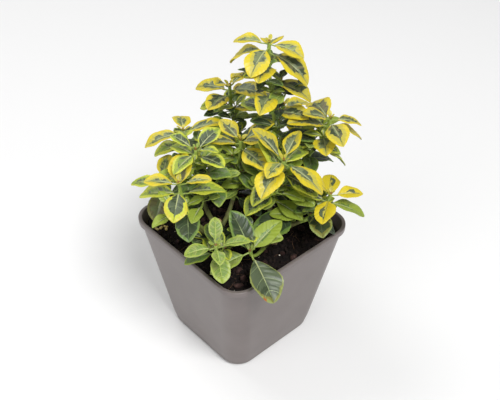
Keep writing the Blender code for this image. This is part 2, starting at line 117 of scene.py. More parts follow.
FIBRE_CURL = 2
FIBRE_LIFT = 0.35 * MM
FIBRE_ARCH = 0.77 * MM
FIBRE_STEPS = 8
FIBRE_SIDES = 5

# Woody cuttings
CUTTING_HEIGHT = 17 * MM
CUTTING_RADIUS = 1.9 * MM
CUTTING_WIDTHS = (1.3, 1.05, 1.0, 0.9)
CUTTING_HEIGHTS = (0, 0.12, 0.5, 1)
CUTTINGS = {"a": (-19 * MM, -2 * MM), "b": (5 * MM, -21 * MM), "c": (21 * MM, 14 * MM)}
CUTTING_SIDES = 28
CUTTING_STEP = 0.45 * MM

# Boughs and shoots
CLEARANCE = 0.3 * MM
BOUGH_RADIUS = 1.35 * MM
TIP_RADIUS = 0.75 * MM
TWIG_RADIUS = 0.7 * MM
PATH_POINTS = 48
FIRST_SEED = 100
SPROUT_RISE = math.radians(30)
FIRST_PULL = 0.3
LAST_PULL = 0.42
LAST_LEAN = 0.12
LIMB_SIDES = 12
LIMB_STEP = 0.7 * MM
LIMB_DOME = 0.4
OFF_AXIS = (0.31, 0.2, 0.93)
NODE_SWELL = 0.28 * MM
NODE_REACH = 0.9 * MM
BOUGH_NODE = 0.45
TWIG_SIDES = 8
TWIG_STEPS = 6
TWIG_TAPER = 0.7
# A limb's relief: the depth of its ribs, the depth of its warts, and a place in the noise.
CUTTING_RELIEF = (0.02, 0.13, 1)
BOUGH_RELIEF = (0.02, 0.1, 5)
STEM_RELIEF = (0.03, 0.05, 9)
RIBS = 4
WARTS = 900
WART_SPREAD = 1.7

# Leaves, as in the solids
PETIOLE = 3.5 * MM
PETIOLE_HALF_WIDTH = 0.55 * MM
WIDTH_SHARE = 0.57
FOLD = math.radians(14)
CROWDED_STEP = 2.5 * MM
OPEN_STEP = 11.5 * MM
CROWDED_PAIRS = 3
APEX_GAP = 1.0 * MM
LOWEST_GAP = 2.5 * MM
CROWDED_SIZES = (0.8, 1.0, 1.05)
CROWDED_RAISE = (17, 7, 0)
CROWDED_DROOP = (0.8, 1.0, 1.2)
LOWER_SIZES = (0.85, 1.05)
LOWER_PITCHES = (4, 24)
# A shoot's leaves tilt towards the side to which it leans, fully so at this distance out.
LEAN = math.radians(20)
LEAN_REACH = 45 * MM
# How much a leaf differs from the others: in shares of its sizes, and in radians.
LENGTHS = (0.9, 1.08)
WIDTHS = (0.9, 1.12)
PETIOLES = (0.8, 1.3)
DROOPS = (0.75, 1.25)
TURN_SPREAD = 0.12
AZIMUTH_SPREAD = 0.16
PITCH_SPREAD = 0.14
ROLL_SPREAD = 0.22

# Side twigs
TWIG_FROM = 4
TWIG_REACH = (8 * MM, 13 * MM)
TWIG_RISE = 0.35
TWIG_TURN = (45, 150)
TWIG_TURN_SPREAD = 0.5
TWIG_FOOT = (1 * MM, 2 * MM)
TWIG_BEND = 0.6
TWIG_END = 0.5
TWIG_OUTWARD = 0.7
TWIG_BOW = (0.6, 0.4 * MM)
TWIG_PAIR_STEP = 0.45
SMALL_TWIG_LEAF = (8 * MM, 10.5 * MM)
LARGE_TWIG_LEAF = (11 * MM, 14 * MM)
SMALL_TWIG_POSE = (math.radians(34), math.radians(26))
LARGE_TWIG_POSE = (math.radians(12), math.radians(32))
RETRIES = ((0, 1.0), (16, 0.95), (-14, 0.92), (32, 0.85), (-26, 0.8), (48, 0.7))
TIP_MATCH = 0.15 * MM

# The fine leaf
LEAF_SEED = 1000
VEINS = (0.08, 0.2, 0.33, 0.47, 0.61, 0.75)
SMALL_VEINS = (0.15, 0.38, 0.62)
VEIN_SLANT = 0.8
VEIN_CURVE = 1.3
VEIN_HALF_WIDTH = 0.16 * MM
VEIN_TAPER = 0.7
FULL_LENGTH = 24 * MM
LEAF_THICKNESS = 0.36 * MM
EDGE_SHARE = 0.5
MIDRIB_HALF_WIDTH = (0.38 * MM, 0.1 * MM)
MIDRIB_SHARES = (0.02, 0.45)
GROOVE = 0.2 * MM
GROOVE_TAPER = 0.7
QUILT = 0.38 * MM
QUILT_POWER = 0.8
EDGE_WAVE = 0.65 * MM
EDGE_CYCLES = 1.6
EDGE_SHIFT = (0.5, 2)
TOOTH = 0.035
OUTLINE_WAVE = 0.045
OUTLINE_CYCLES = (0.9, 2.4)
BREADTH = 1.09
NECK_HALF_WIDTH = PETIOLE_HALF_WIDTH * 0.8
TIP_HALF_WIDTH = 0.05 * MM
NECK_PULL = 0.3
TIP_PULL = 0.08
TWIST = 0.3
TWIST_CENTRE = 0.3
FLATTEN = (0.15, 0.5)
FOLDS = (0.6, 1.2)
STALK_RADIUS = 0.46 * MM
STALK_END_RADIUS = 0.1 * MM
STALK_FOOT = 1.25
STALK_POWER = 0.6
STALK_LIFT = 0.15 * MM
STALK_SIDES = 6
STALK_SHARES = (0.0, 0.12, 0.3, 0.5, 0.7, 0.9)
# The outline: where a leaf is widest and how full it is, both as powers. An old leaf is widest
# further out, and blunter, by these factors.
WIDEST = (0.9, 1.1)
FULLNESS = (0.56, 0.7)
OLD_SHAPE = (1.3, 0.85)
MEAN_SHAPE = (0.96, 0.66)

# The leaf's colours, as shares of its length or half width
ROW_SHIFT = 0.025
RIB_ENDS = (0.6, 0.86)
THIN_BORDER = 0.1
LEAST_BORDER = 0.04
BORDER_LIMITS = (0.03, 0.95)
BORDER_BAND = (0.25, 0.55)
INNER_COLUMNS = (0.28, 0.68)
OUTER_COLUMN = 0.8
PATCH_PLACE = (0.38, 0.52)
PATCH_REACH = (0.16, 0.26)
SPIKES = (4, 9)
SPIKE_FROM = 0.05
SPIKE_WIDTH = (0.02, 0.05)
FRAY = 0.012
WANDER = 0.05
WANDER_LIMIT = 2.5
UNSWAPPED = 0.7
STREAKS = (4, 9)
STREAK_PLACE = (0.02, 0.88)
STREAK_STRIP = (0.5, 4.5)
STREAK_REACH = (0.8, 2.4)
STREAK_WIDTH = (0.02, 0.075)
RUST_REACH = (0.7, 0.8)

# Finer growth: young leaves and buds at the tips, and short sprigs in the axils of lower pairs
BUD_LENGTH = 2.1 * MM
AXIL_BUD_LENGTH = 1.2 * MM
BUD_GIRTH = 0.34
BUD_ARC = (0.18, 0.8)
BUD_RINGS = 7
YOUNG_PAIRS = ((0, 66, 2.6 * MM), (90, 52, 4.4 * MM))
YOUNG_SIZES = (0.85, 1.15)
YOUNG_PETIOLE = 0.9 * MM
YOUNG_PETIOLES = (0.8, 1.6)
YOUNG_DROOP = math.radians(26)
SPRIG_RANK = 3
SPRIG_SEED = 500
SPRIG_ABOVE = 0.8 * MM
SPRIG_SPREAD = 0.4
SPRIG_STEM = (2.5 * MM, 6.5 * MM)
SPRIG_SAG = 0.3 * MM
SPRIG_TOP = 0.6 * MM
SPRIG_RISE = (28, 62)
SPRIG_LEAF = (7 * MM, 12.5 * MM)
SPRIG_PITCH = (8, 34)
SPRIG_YOUNG = (3.2 * MM, 5 * MM)
SPRIG_YOUNG_PITCH = math.radians(50)
SPRIG_RADIUS = 0.45 * MM
SPRIG_FORMS = ((0, 1.0), (14, 0.86), (-12, 0.8), (28, 0.72), (-24, 0.62))
CELL = 1.3 * MM
POINTS_A_CELL = 1.4
LEAST_POINTS = 5
ACROSS = 0.95
FREE_FROM = 0.4

Shoot = namedtuple("Shoot", "name cutting bud rise tip bare pairs leaf turn pitch droop twigs")
Leaf = namedtuple("Leaf", "root azimuth pitch droop petiole length width roll")
Grown = namedtuple("Grown", "leaf rank side")

# bud: the side of the cutting that it leaves, in degrees. rise: how far up the cutting, as a
# share. tip: place in mm, the last number above the rim. bare: the bough's share of the whole
# length. turn: azimuth of the topmost pair. pitch and droop: of the rosette's leaves.
SHOOTS = (
    Shoot("left", "a", 176, 0.62, (-40, 4, 44), 0.34, 4, 19, 134, 8, 32, 2),
    Shoot("left_back", "a", 92, 0.80, (-22, 12, 52), 0.32, 7, 16.5, 100, 12, 32, 3),
    Shoot("front_low", "a", 232, 0.36, (-42, -27, 24), 0.30, 5, 14.5, 62, 12, 36, 1),
    Shoot("middle", "a", 12, 0.66, (5, 7, 48), 0.32, 7, 19, 80, 8, 26, 3),
    Shoot("corner_left", "a", 128, 0.28, (-30, 33, 24), 0.38, 4, 18, 30, 10, 30, 1),
    Shoot("centre_front", "b", 70, 0.85, (8, -23, 50), 0.24, 8, 21.5, 10, 8, 34, 3),
    Shoot("right_front", "b", 318, 0.62, (24, -43, 31), 0.34, 5, 19, 134, 10, 26, 1),
    Shoot("front", "b", 208, 0.34, (-24, -33, 13), 0.36, 2, 26, 355, 2, 32, 1),
    Shoot("right_low", "b", 352, 0.26, (17, -27, 13), 0.30, 2, 25, 270, 2, 30, 1),
    Shoot("tall", "c", 285, 0.90, (24, 7, 100), 0.26, 10, 20, 120, -6, 44, 2),
    Shoot("right", "c", 330, 0.55, (43, -22, 60), 0.30, 8, 20, 150, 4, 36, 3),
    Shoot("back_right", "c", 14, 0.74, (47, 17, 47), 0.28, 7, 20, 80, 6, 34, 3),
    Shoot("back", "c", 70, 0.45, (27, 41, 57), 0.30, 7, 20, 20, 6, 36, 3),
    Shoot("back_left", "c", 142, 0.64, (-8, 40, 43), 0.36, 7, 19.5, 60, 8, 34, 3),
)

# The plain colours that a leaf's parts take, as 8-bit display values, and their roughness.
PAINTS = {
    "gold": ((213, 194, 42), 0.42),
    "yellow": ((198, 190, 56), 0.42),
    "straw": ((190, 180, 70), 0.44),
    "lemon": ((194, 200, 66), 0.42),
    "lime": ((147, 165, 60), 0.44),
    "pale_lime": ((162, 178, 88), 0.44),
    "fresh": ((118, 142, 64), 0.44),
    "mid": ((98, 126, 60), 0.44),
    "deep": ((54, 70, 44), 0.4),
    "dark": ((64, 76, 52), 0.4),
    # The next colour is painted shade: a near-black green that darkens leaves deep in the crown, where shade
    # falls.
    "murk": ((40, 50, 34), 0.4),
    "slate": ((86, 98, 72), 0.42),
    "ash": ((122, 132, 94), 0.44),
    "sage": ((140, 152, 84), 0.44),
    "olive": ((126, 126, 62), 0.44),
    "taupe": ((114, 110, 76), 0.44),
    "pale": ((172, 178, 128), 0.5),
    "vein": ((150, 164, 116), 0.5),
    "faint": ((110, 126, 86), 0.46),
    "stalk": ((150, 168, 80), 0.5),
    "under": ((146, 158, 108), 0.55),
    "rust": ((168, 92, 34), 0.5),
    "bud": ((148, 108, 58), 0.5),
}

# margin and inner: the leaf's outer and inner border. centre and patch: its middle. halo: the
# strip beside the midrib. border: how far the middle reaches to the side, and tip: how far to the
# tip, as shares. ragged: how uneven the border is. veined: how many strips show pale side veins.
Look = namedtuple("Look", "margin inner centre patch halo rib vein border tip ragged veined")
LOOK_ROWS = {
    "gold": ("gold straw slate ash ash pale ash", (0.4, 0.62), (0.54, 0.82), 0.26, 3),
    "fair": ("gold straw sage slate ash pale ash", (0.36, 0.56), (0.62, 0.88), 0.24, 3),
    "tipped": ("yellow lemon slate dark slate pale faint", (0.7, 0.8), (0.74, 0.8), 0.14, 3),
    "dusk": ("gold straw dark taupe ash pale faint", (0.5, 0.7), (0.64, 0.86), 0.22, 3),
    "yellow": ("gold gold slate slate straw straw slate", (0.02, 0.52), (0.4, 0.75), 0.2, 0),
    "bronze": ("gold straw taupe slate ash pale ash", (0.42, 0.62), (0.6, 0.86), 0.24, 3),
    "young": ("yellow straw olive taupe olive straw straw", (0.3, 0.5), (0.6, 0.8), 0.1, 1),
    "lemon": ("lemon lime slate fresh sage pale sage", (0.38, 0.62), (0.58, 0.86), 0.2, 3),
    "leek": ("lemon lime dark slate slate pale vein", (0.6, 0.76), (0.74, 0.92), 0.18, 4),
    "lime": ("lime lime mid fresh fresh pale pale_lime", (0.14, 0.34), (0.45, 0.8), 0.2, 3),
    "fresh": ("pale_lime lime fresh sage fresh pale_lime pale_lime", (0.7, 0.86), (0.8, 0.95), 0.1, 4),
    "mid": ("lime fresh mid faint mid vein faint", (0.76, 0.88), (0.8, 0.96), 0.1, 4),
    "green": ("fresh mid deep dark dark vein faint", (0.8, 0.92), (0.85, 0.98), 0.1, 4),
    # The shade look is painted shade: leaves darkened to deep green and near black, as where shade falls.
    "shade": ("deep deep murk deep deep faint dark", (0.84, 0.94), (0.85, 0.98), 0.1, 4),
    "dull": ("olive taupe taupe ash ash pale ash", (0.7, 0.9), (0.8, 0.95), 0.1, 3),
    "old": ("sage olive slate dark slate pale vein", (0.78, 0.98), (0.9, 1.0), 0.07, 5),
    "worn": ("sage olive deep dark dark faint slate", (0.62, 0.8), (0.78, 0.92), 0.2, 3),
}
LOOKS = {name: Look(*paints.split(), *shape) for name, (paints, *shape) in LOOK_ROWS.items()}

# Each shoot's looks, one for each pair from its tip down, or two where a pair's leaves differ. The
# last goes for any pair below.
# The shade look puts painted shade on the lowest pairs and on leaves that lie under others.
DRESS = {
    "left": "fair, tipped bronze, lemon, mid green",
    "left_back": "leek lemon, lemon leek, leek lemon, lime, mid, green, shade",
    "front_low": "fresh, fresh, fresh mid, mid, shade",
    "middle": "bronze, bronze gold, fair lemon, lemon lime, mid, green dull, shade",
    "corner_left": "fair lemon, lemon, dull lime, green",
    "centre_front": "gold fair, gold, gold lemon, leek lemon, lime leek, fresh lime, leek green, lime shade",
    "right_front": "yellow, yellow, lime leek, mid worn, lime shade",
    "front": "lime fresh, green old",
    "right_low": "worn leek, green",
    "tall": "fair, gold, dusk gold, gold, gold dusk, gold lemon, dusk leek, mid lime, green, shade",
    "right": "bronze, dusk, gold, leek gold, lemon, mid lime, green, shade",
    "back_right": "bronze, gold, dusk, lemon, lime, green, shade",
    "back": "fair, gold, dusk, gold lemon, lime, green, shade",
    "back_left": "fair lemon, gold, leek, lemon, mid, green, shade",
}
TWIG_DRESS = ("lime", "mid", "green", "fresh", "leek")
HIGH_SPRIGS = ("lemon", "lime", "mid")
# The lower sprigs' looks are darker, the shade look among them with painted shade.
LOW_SPRIGS = ("fresh", "mid", "green", "shade")
HIGH_RANKS = 4

# Studio. A light's name, its place, its diameter and its power in watts.
LIGHTS = (
    ("key", (-0.2, -0.9, 1.5), 0.7, 22.5),
    ("fill", (-1.1, -0.1, 0.9), 1.0, 4.2),
    ("back", (-0.1, 0.9, 1.3), 0.9, 7),
)
LIGHT_AIM = (0, 0, 0.08)
WORLD_STRENGTH = 0.31
FLOOR_RADIUS = 3
FLOOR_SIDES = 96
CAMERA_PLACE = (-0.2393, -0.2626, 0.3899)
CAMERA_AIM = (0.008, 0.002, 0.088)
CAMERA_ROLL = math.radians(1.1)
CAMERA_LENS = 60
CAMERA_NEAR = 0.01


# Meshes


class Gathered:
    """Points, faces of four or three corners, and colours, gathered for one joined piece."""

    def __init__(self):
        self.points = []
        self.faces = []
        self.paints = []
        self.count = 0

    def add(self, points, faces, paints):
        """faces: rows of four corners, the last one doubled on a triangle."""
        self.points.append(np.asarray(points, float).reshape(-1, 3))
        self.faces.append(np.asarray(faces, np.int64) + self.count)
        self.paints.append(np.broadcast_to(np.asarray(paints), (len(faces),)))
        self.count += len(self.points[-1])


def finished_piece(name, gathered, materials, sharp=40):
    """One joined object that rides on the body. materials: a list, which the paints number."""
    points = np.concatenate(gathered.points)
    faces = np.concatenate(gathered.faces)
    used, paints = np.unique(np.concatenate(gathered.paints), return_inverse=True)
    corners = np.ones(faces.shape, bool)
    corners[:, 3] = faces[:, 3] != faces[:, 2]
    sizes = corners.sum(axis=1)
    mesh = bpy.data.meshes.new(name)
    mesh.vertices.add(len(points))
    mesh.vertices.foreach_set("co", points.astype(np.float32).ravel())
    mesh.loops.add(int(sizes.sum()))
    mesh.loops.foreach_set("vertex_index", faces[corners].astype(np.int32))
    mesh.polygons.add(len(faces))
    starts = np.concatenate(([0], np.cumsum(sizes)[:-1]))
    mesh.polygons.foreach_set("loop_start", starts.astype(np.int32))
    mesh.update(calc_edges=True)
    for k in used:
        mesh.materials.append(materials[k])
    mesh.polygons.foreach_set("material_index", paints.astype(np.int32).ravel())
    mesh.shade_smooth()
    mesh.set_sharp_from_angle(angle=math.radians(sharp))
    return placed(name, mesh)


def mesh_from(bm, name):
    """The mesh of a bmesh, which is then freed."""
    mesh = bpy.data.meshes.new(name)
    bm.to_mesh(mesh)
    bm.free()
    return mesh


def linked(name, data):
    """A new object in the scene."""
    made = bpy.data.objects.new(name, data)
    bpy.context.scene.collection.objects.link(made)
    return made


def placed(name, mesh):
    """A new piece, which rides on the body."""
    made = linked(name, mesh)
    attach(made, "root")
    return made


def limb(gathered, points, radii, sides, paint, relief=1):
    """A limb round a line of points, closed by a low dome at each end."""
    points = np.array(points, float)
    radii = np.broadcast_to(np.asarray(radii, float), (len(points),))
    ways = np.gradient(points, axis=0)
    ways /= np.linalg.norm(ways, axis=1)[:, None]
    across = np.cross(ways[0], OFF_AXIS)
    angles = np.arange(sides) * 2 * math.pi / sides
    circles = []
    for way in ways:
        across = across - way * across.dot(way)
        across /= np.linalg.norm(across)
        other = np.cross(way, across)
        circles.append(np.outer(np.cos(angles), across) + np.outer(np.sin(angles), other))
    reach = np.broadcast_to(radii[:, None] * relief, (len(points), sides))
    body = points[:, None] + reach[..., None] * np.array(circles)
    low_dome = points[0] - ways[0] * radii[0] * LIMB_DOME
    high_dome = points[-1] + ways[-1] * radii[-1] * LIMB_DOME
    faces = limb_faces(len(points), sides)
    gathered.add(np.concatenate((body.reshape(-1, 3), (low_dome, high_dome))), faces, paint)


def limb_faces(rings, sides):
    """A limb's side, from ring to ring, then its low end and its high end."""
    here = np.arange(sides)
    following = (here + 1) % sides
    row = np.arange(rings - 1)[:, None] * sides
    above = row + sides
    side = np.stack((row + here, row + following, above + following, above + here), -1)
    low_dome = np.full(sides, rings * sides)
    high_dome = low_dome + 1
    last = (rings - 1) * sides
    low = np.stack((following, here, low_dome, low_dome), -1)
    high = np.stack((last + here, last + following, high_dome, high_dome), -1)
    return np.concatenate((side.reshape(-1, 4), low, high))


# Materials


def linear(rgb):
    """A display colour of 0 to 255 as a shader's linear colour."""
    shares = [v / 255 for v in rgb]
    return [v / 12.92 if v <= 0.04045 else ((v + 0.055) / 1.055) ** 2.4 for v in shares]


def new_material(name, rgb, roughness, specular=0.5):
    material = bpy.data.materials.new(name)
    material.use_nodes = True
    shader = material.node_tree.nodes["Principled BSDF"]
    shader.inputs["Base Color"].default_value = (*linear(rgb), 1)
    shader.inputs["Roughness"].default_value = roughness
    shader.inputs["Specular IOR Level"].default_value = specular
    return material


def pattern(material, scale, detail, on_z=1):
    """A noise in the object's own coordinates: scale in cycles a metre, and on_z its share on Z."""
    tree = material.node_tree
    place = tree.nodes.new("ShaderNodeTexCoord")
    mapping = tree.nodes.new("ShaderNodeMapping")
    mapping.inputs["Scale"].default_value = (1, 1, on_z)
    made = tree.nodes.new("ShaderNodeTexNoise")
    made.inputs["Scale"].default_value = scale
    made.inputs["Detail"].default_value = detail
    tree.links.new(place.outputs["Object"], mapping.inputs["Vector"])
    tree.links.new(mapping.outputs["Vector"], made.inputs["Vector"])
    return made.outputs["Fac"]


def mottle(material, grain, colours, places):
    """Colours laid out along a pattern's values. grain: its scale, its detail, and on_z."""
    tree = material.node_tree
    ramp = tree.nodes.new("ShaderNodeValToRGB")
    while len(ramp.color_ramp.elements) < len(colours):
        ramp.color_ramp.elements.new(1.0)
    for element, colour, at in zip(ramp.color_ramp.elements, colours, places):
        element.position = at
        element.color = (*linear(colour), 1)
    tree.links.new(pattern(material, *grain), ramp.inputs["Fac"])
    tree.links.new(ramp.outputs["Color"], tree.nodes["Principled BSDF"].inputs["Base Color"])


def bump(material, grain, height):
    """Relief by a pattern's values, which its grain describes as above."""
    tree = material.node_tree
    relief = tree.nodes.new("ShaderNodeBump")
    relief.inputs["Distance"].default_value = height
    relief.inputs["Strength"].default_value = 1
    tree.links.new(pattern(material, *grain), relief.inputs["Height"])
    tree.links.new(relief.outputs["Normal"], tree.nodes["Principled BSDF"].inputs["Normal"])


def leaf_materials():
    """The leaves' plain colours, each with a fine skin and a little light let through."""
    made = []
    for name, (rgb, roughness) in PAINTS.items():
        material = new_material("leaf_" + name, rgb, roughness)
        shader = material.node_tree.nodes["Principled BSDF"]
        shader.inputs["Subsurface Weight"].default_value = 0.15
        shader.inputs["Subsurface Radius"].default_value = (1.0, 1.0, 0.6)
        shader.inputs["Subsurface Scale"].default_value = 0.5 * MM
        bump(material, (900, 4), 0.06 * MM)
        made.append(material)
    return made


def pot_material():
    material = new_material("pot_plastic", (117, 108, 106), 0.36)
    mottle(material, (60, 6), ((114, 105, 103), (120, 111, 109)), (0.35, 0.7))
    bump(material, (1600, 2), 0.03 * MM)
    return material


def soil_materials():
    """Peat, crumbs, bark chips, pale specks, feed grains and fibres."""
    peat = new_material("peat", (30, 24, 22), 0.95, 0.2)
    mottle(peat, (260, 6), ((14, 12, 12), (38, 30, 27)), (0.35, 0.68))
    bump(peat, (1400, 4), 0.25 * MM)
    crumb = new_material("crumb", (40, 31, 27), 0.95, 0.2)
    mottle(crumb, (190, 3), ((15, 13, 13), (36, 28, 26), (62, 48, 42)), (0.3, 0.55, 0.75))
    bump(crumb, (2200, 4), 0.15 * MM)
    chip = new_material("bark_chip", (76, 50, 44), 0.85, 0.3)
    mottle(chip, (420, 5), ((28, 21, 20), (66, 45, 41), (110, 84, 76)), (0.32, 0.58, 0.82))
    bump(chip, (1500, 4), 0.2 * MM)
    speck = new_material("pale_speck", (190, 174, 146), 0.9, 0.3)
    mottle(speck, (120, 2), ((138, 116, 88), (226, 220, 206)), (0.35, 0.65))
    bump(speck, (3000, 2), 0.1 * MM)
    feed = new_material("feed_grain", (214, 190, 112), 0.35)
    mottle(feed, (350, 2), ((196, 168, 90), (228, 208, 140)), (0.4, 0.65))
    fibre = new_material("fibre", (92, 66, 50), 0.9, 0.2)
    mottle(fibre, (500, 2), ((60, 42, 34), (120, 90, 68)), (0.35, 0.7))
    return peat, crumb, chip, speck, feed, fibre


def wood_materials():
    """The cuttings' bark and cut wood, the boughs' young bark and the green stems."""
    bark = new_material("bark", (112, 96, 70), 0.85, 0.3)
    mottle(bark, (300, 6, 0.3), ((66, 54, 40), (112, 96, 68), (142, 128, 96)), (0.3, 0.55, 0.75))
    bump(bark, (1300, 4, 0.25), 0.25 * MM)
    cut = new_material("cut_wood", (170, 142, 98), 0.8, 0.3)
    mottle(cut, (900, 3), ((140, 112, 74), (188, 162, 116)), (0.35, 0.7))
    bough = new_material("young_bark", (110, 112, 58), 0.65)
    mottle(bough, (220, 5, 0.4), ((86, 74, 46), (108, 112, 56), (128, 142, 66)), (0.3, 0.5, 0.72))
    bump(bough, (1500, 3, 0.3), 0.12 * MM)
    stem = new_material("green_stem", (140, 162, 66), 0.5)
    mottle(stem, (160, 4), ((112, 132, 52), (142, 164, 66), (160, 178, 84)), (0.3, 0.5, 0.72))
    bump(stem, (1500, 3, 0.3), 0.06 * MM)
    return [bark, cut, bough, stem]


# Pot


def wall_half(z):
    """The pot's outer half side at height z."""
    return (BASE_SIDE + (RIM_SIDE - 2 * RIM_BEAD - BASE_SIDE) * z / POT_HEIGHT) / 2


def quarter(centre, radius, start, end, steps):
    """Points of an arc in the profile's plane, between two angles in degrees."""
    angles = [math.radians(start + (end - start) * i / steps) for i in range(steps + 1)]
    return [(centre[0] + radius * math.cos(a), centre[1] + radius * math.sin(a)) for a in angles]


def pot_profile():
    """The wall's section as half sides and heights: out of the underside, up, over the rim, down."""
    foot = quarter((wall_half(0) - FOOT_RADIUS, FOOT_RADIUS), FOOT_RADIUS, -90, 0, ROUND_STEPS)
    bead_low = POT_HEIGHT - RIM_BEAD_HEIGHT
    rise = np.linspace(FOOT_RADIUS, bead_low - BELOW_BEAD, WALL_STEPS)[1:]
    outer = foot + [(wall_half(z), z) for z in rise]
    lip = LIP_RADIUS
    lip_height = POT_HEIGHT - lip
    outer_lip = RIM_SIDE / 2 - lip
    inner_lip = RIM_SIDE / 2 - WALL - RIM_BEAD + lip
    outer += quarter((outer_lip, bead_low + lip), lip, -60, 0, SHORT_STEPS)
    outer += quarter((outer_lip, lip_height), lip, 0, 90, LIP_STEPS)
    outer += quarter((inner_lip, lip_height), lip, 90, 180, LIP_STEPS)
    inner_foot = FOOT_RADIUS - WALL
    fall = np.linspace(POT_HEIGHT - 2 * lip, WALL + inner_foot, WALL_STEPS)
    inner = [(wall_half(z) - WALL, z) for z in fall]
    floor = (inner[-1][0] - inner_foot, WALL + inner_foot)
    return outer + inner + quarter(floor, inner_foot, 0, -90, SHORT_STEPS)[1:]


def square_ring(half, z, radius):
    """A square with round corners, as points in order round the pot."""
    points = []
    for corner in range(4):
        turn = corner * math.pi / 2
        cos, sin = math.cos(turn), math.sin(turn)
        for i in range(CORNER_STEPS + 1):
            a = math.pi / 2 * i / CORNER_STEPS
            x = half - radius + radius * math.cos(a)
            y = half - radius + radius * math.sin(a)
            points.append((x * cos - y * sin, x * sin + y * cos, z))
    return points


def make_pot():
    profile = pot_profile()
    bm = bmesh.new()
    rings = []
    for half, z in profile:
        inset = wall_half(z) - half
        radius = max(CORNER_RADIUS - max(inset, 0), INNER_CORNER_RADIUS)
        rings.append([bm.verts.new(p) for p in square_ring(half, z, radius)])
    for ring, following in zip(rings, rings[1:]):
        for i in range(len(ring)):
            j = (i + 1) % len(ring)
            bm.faces.new((ring[i], ring[j], following[j], following[i]))
    bm.faces.new(list(reversed(rings[0])))
    bm.faces.new(rings[-1])
    bmesh.ops.recalc_face_normals(bm, faces=bm.faces)
    pot = placed("nursery_pot", drilled(mesh_from(bm, "nursery_pot")))
    pot.data.materials.append(pot_material())
    pot.data.shade_smooth()
    pot.data.set_sharp_from_angle(angle=math.radians(35))
    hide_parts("pot")


def drilled(mesh):
    """The pot's mesh with its drainage holes cut."""
    body = linked("pot_body", mesh)
    reach = HOLE_REACH * BASE_SIDE / 2
    bm = bmesh.new()
    for x, y in HOLE_PLACES:
        place = Matrix.Translation((x * reach, y * reach, 0))
        size = {"radius1": HOLE_RADIUS, "radius2": HOLE_RADIUS, "depth": 6 * WALL}
        bmesh.ops.create_cone(bm, cap_ends=True, segments=HOLE_SIDES, matrix=place, **size)
    cutter = linked("drain_cutter", mesh_from(bm, "drain_cutter"))
    drill = body.modifiers.new("drain_holes", "BOOLEAN")
    drill.operation = "DIFFERENCE"
    drill.object = cutter
    graph = bpy.context.evaluated_depsgraph_get()
    cut = bpy.data.meshes.new_from_object(body.evaluated_get(graph))
    for used in (body, cutter):
        bpy.data.objects.remove(used, do_unlink=True)
    return cut


# Soil


def soil_top(x, y):
    """The soil's height at a place: higher at the left corner, with gentle humps."""
    (x_wave, x_shift), (y_wave, y_shift) = SOIL_WAVES
    humps = math.sin(x * x_wave + x_shift) * math.cos(y * y_wave + y_shift)
    x_ripple, y_ripple, ripple = SOIL_RIPPLE
    humps += ripple * math.sin(x * x_ripple + y * y_ripple)
    return POT_HEIGHT - SOIL_BELOW_RIM + SOIL_SLOPE * (y - x) / 2 + SOIL_HUMP * humps


def soil_skin(x, y):
    """The soil's height with its lumps."""
    height = soil_top(x, y)
    for scale, layer, reach in SOIL_LUMPS:
        height += reach * noise.noise(Vector((x * scale, y * scale, layer)))
    return height


def rounded_square(u, v, radius_share):
    """Maps a point of the square from -1 to 1 to the square with round corners."""
    ring = max(abs(u), abs(v))
    if ring == 0:
        return 0.0, 0.0
    x, y = u / ring, v / ring
    inner = 1 - radius_share
    cx = min(max(x, -inner), inner)
    cy = min(max(y, -inner), inner)
    dx, dy = x - cx, y - cy
    if dx and dy:
        stretch = radius_share / math.hypot(dx, dy)
        dx, dy = dx * stretch, dy * stretch
    return ring * (cx + dx), ring * (cy + dy)


def soil_half():
    return wall_half(POT_HEIGHT - SOIL_BELOW_RIM - SOIL_DIP) - WALL - SOIL_GAP


def make_soil(peat):
    """The lumpy top, drawn down to the floor as one closed body."""
    top_half = soil_half()
    floor = WALL + CLEARANCE
    floor_share = (wall_half(floor) - WALL - FOOT_RADIUS) / top_half
    bm = bmesh.new()
    bmesh.ops.create_grid(bm, x_segments=SOIL_GRID, y_segments=SOIL_GRID, size=1)
    for v in bm.verts:
        x, y = rounded_square(v.co.x, v.co.y, CORNER_RADIUS / top_half)
        v.co = Vector((x * top_half, y * top_half, 0))
        v.co.z = soil_skin(v.co.x, v.co.y)
    edge = [e for e in bm.edges if e.is_boundary]
    made = bmesh.ops.extrude_edge_only(bm, edges=edge)["geom"]
    for v in [v for v in made if isinstance(v, bmesh.types.BMVert)]:
        v.co = Vector((v.co.x * floor_share, v.co.y * floor_share, floor))
    bmesh.ops.holes_fill(bm, edges=[e for e in bm.edges if e.is_boundary], sides=0)
    bmesh.ops.recalc_face_normals(bm, faces=bm.faces)
    mesh = mesh_from(bm, "peat_soil")
    mesh.materials.append(peat)
    mesh.shade_smooth()
    soil = placed("peat_soil", mesh)
    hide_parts("soil")


def ball(detail):
    """A unit ball's points and faces."""
    bm = bmesh.new()
    bmesh.ops.create_icosphere(bm, subdivisions=detail, radius=1)
    points = np.array([v.co[:] for v in bm.verts])
    faces = np.array([[v.index for v in f.verts] for f in bm.faces])
    bm.free()
    return points, np.column_stack((faces, faces[:, 2]))


def lump(gathered, shape, place, size, stretch, grains, rng):
    """One irregular grain: a ball that is stretched, squared off, dented and turned."""
    points, faces = shape
    grain = np.sign(points) * np.abs(points) ** grains.square
    dents = rng.normal(0, grains.rough, len(points))
    grain = grain * (1 + dents)[:, None] * (np.array(stretch) * size)
    turn = np.array(Euler(rng.uniform(-math.pi, math.pi, 3)).to_matrix())
    gathered.add(grain @ turn.T + place, faces, 0)


def soil_place(rng, margin):
    """A place on the soil, with this margin to its edge."""
    half = soil_half() - margin
    x, y = rounded_square(rng.uniform(-1, 1), rng.uniform(-1, 1), CORNER_RADIUS / half)
    return x * half, y * half


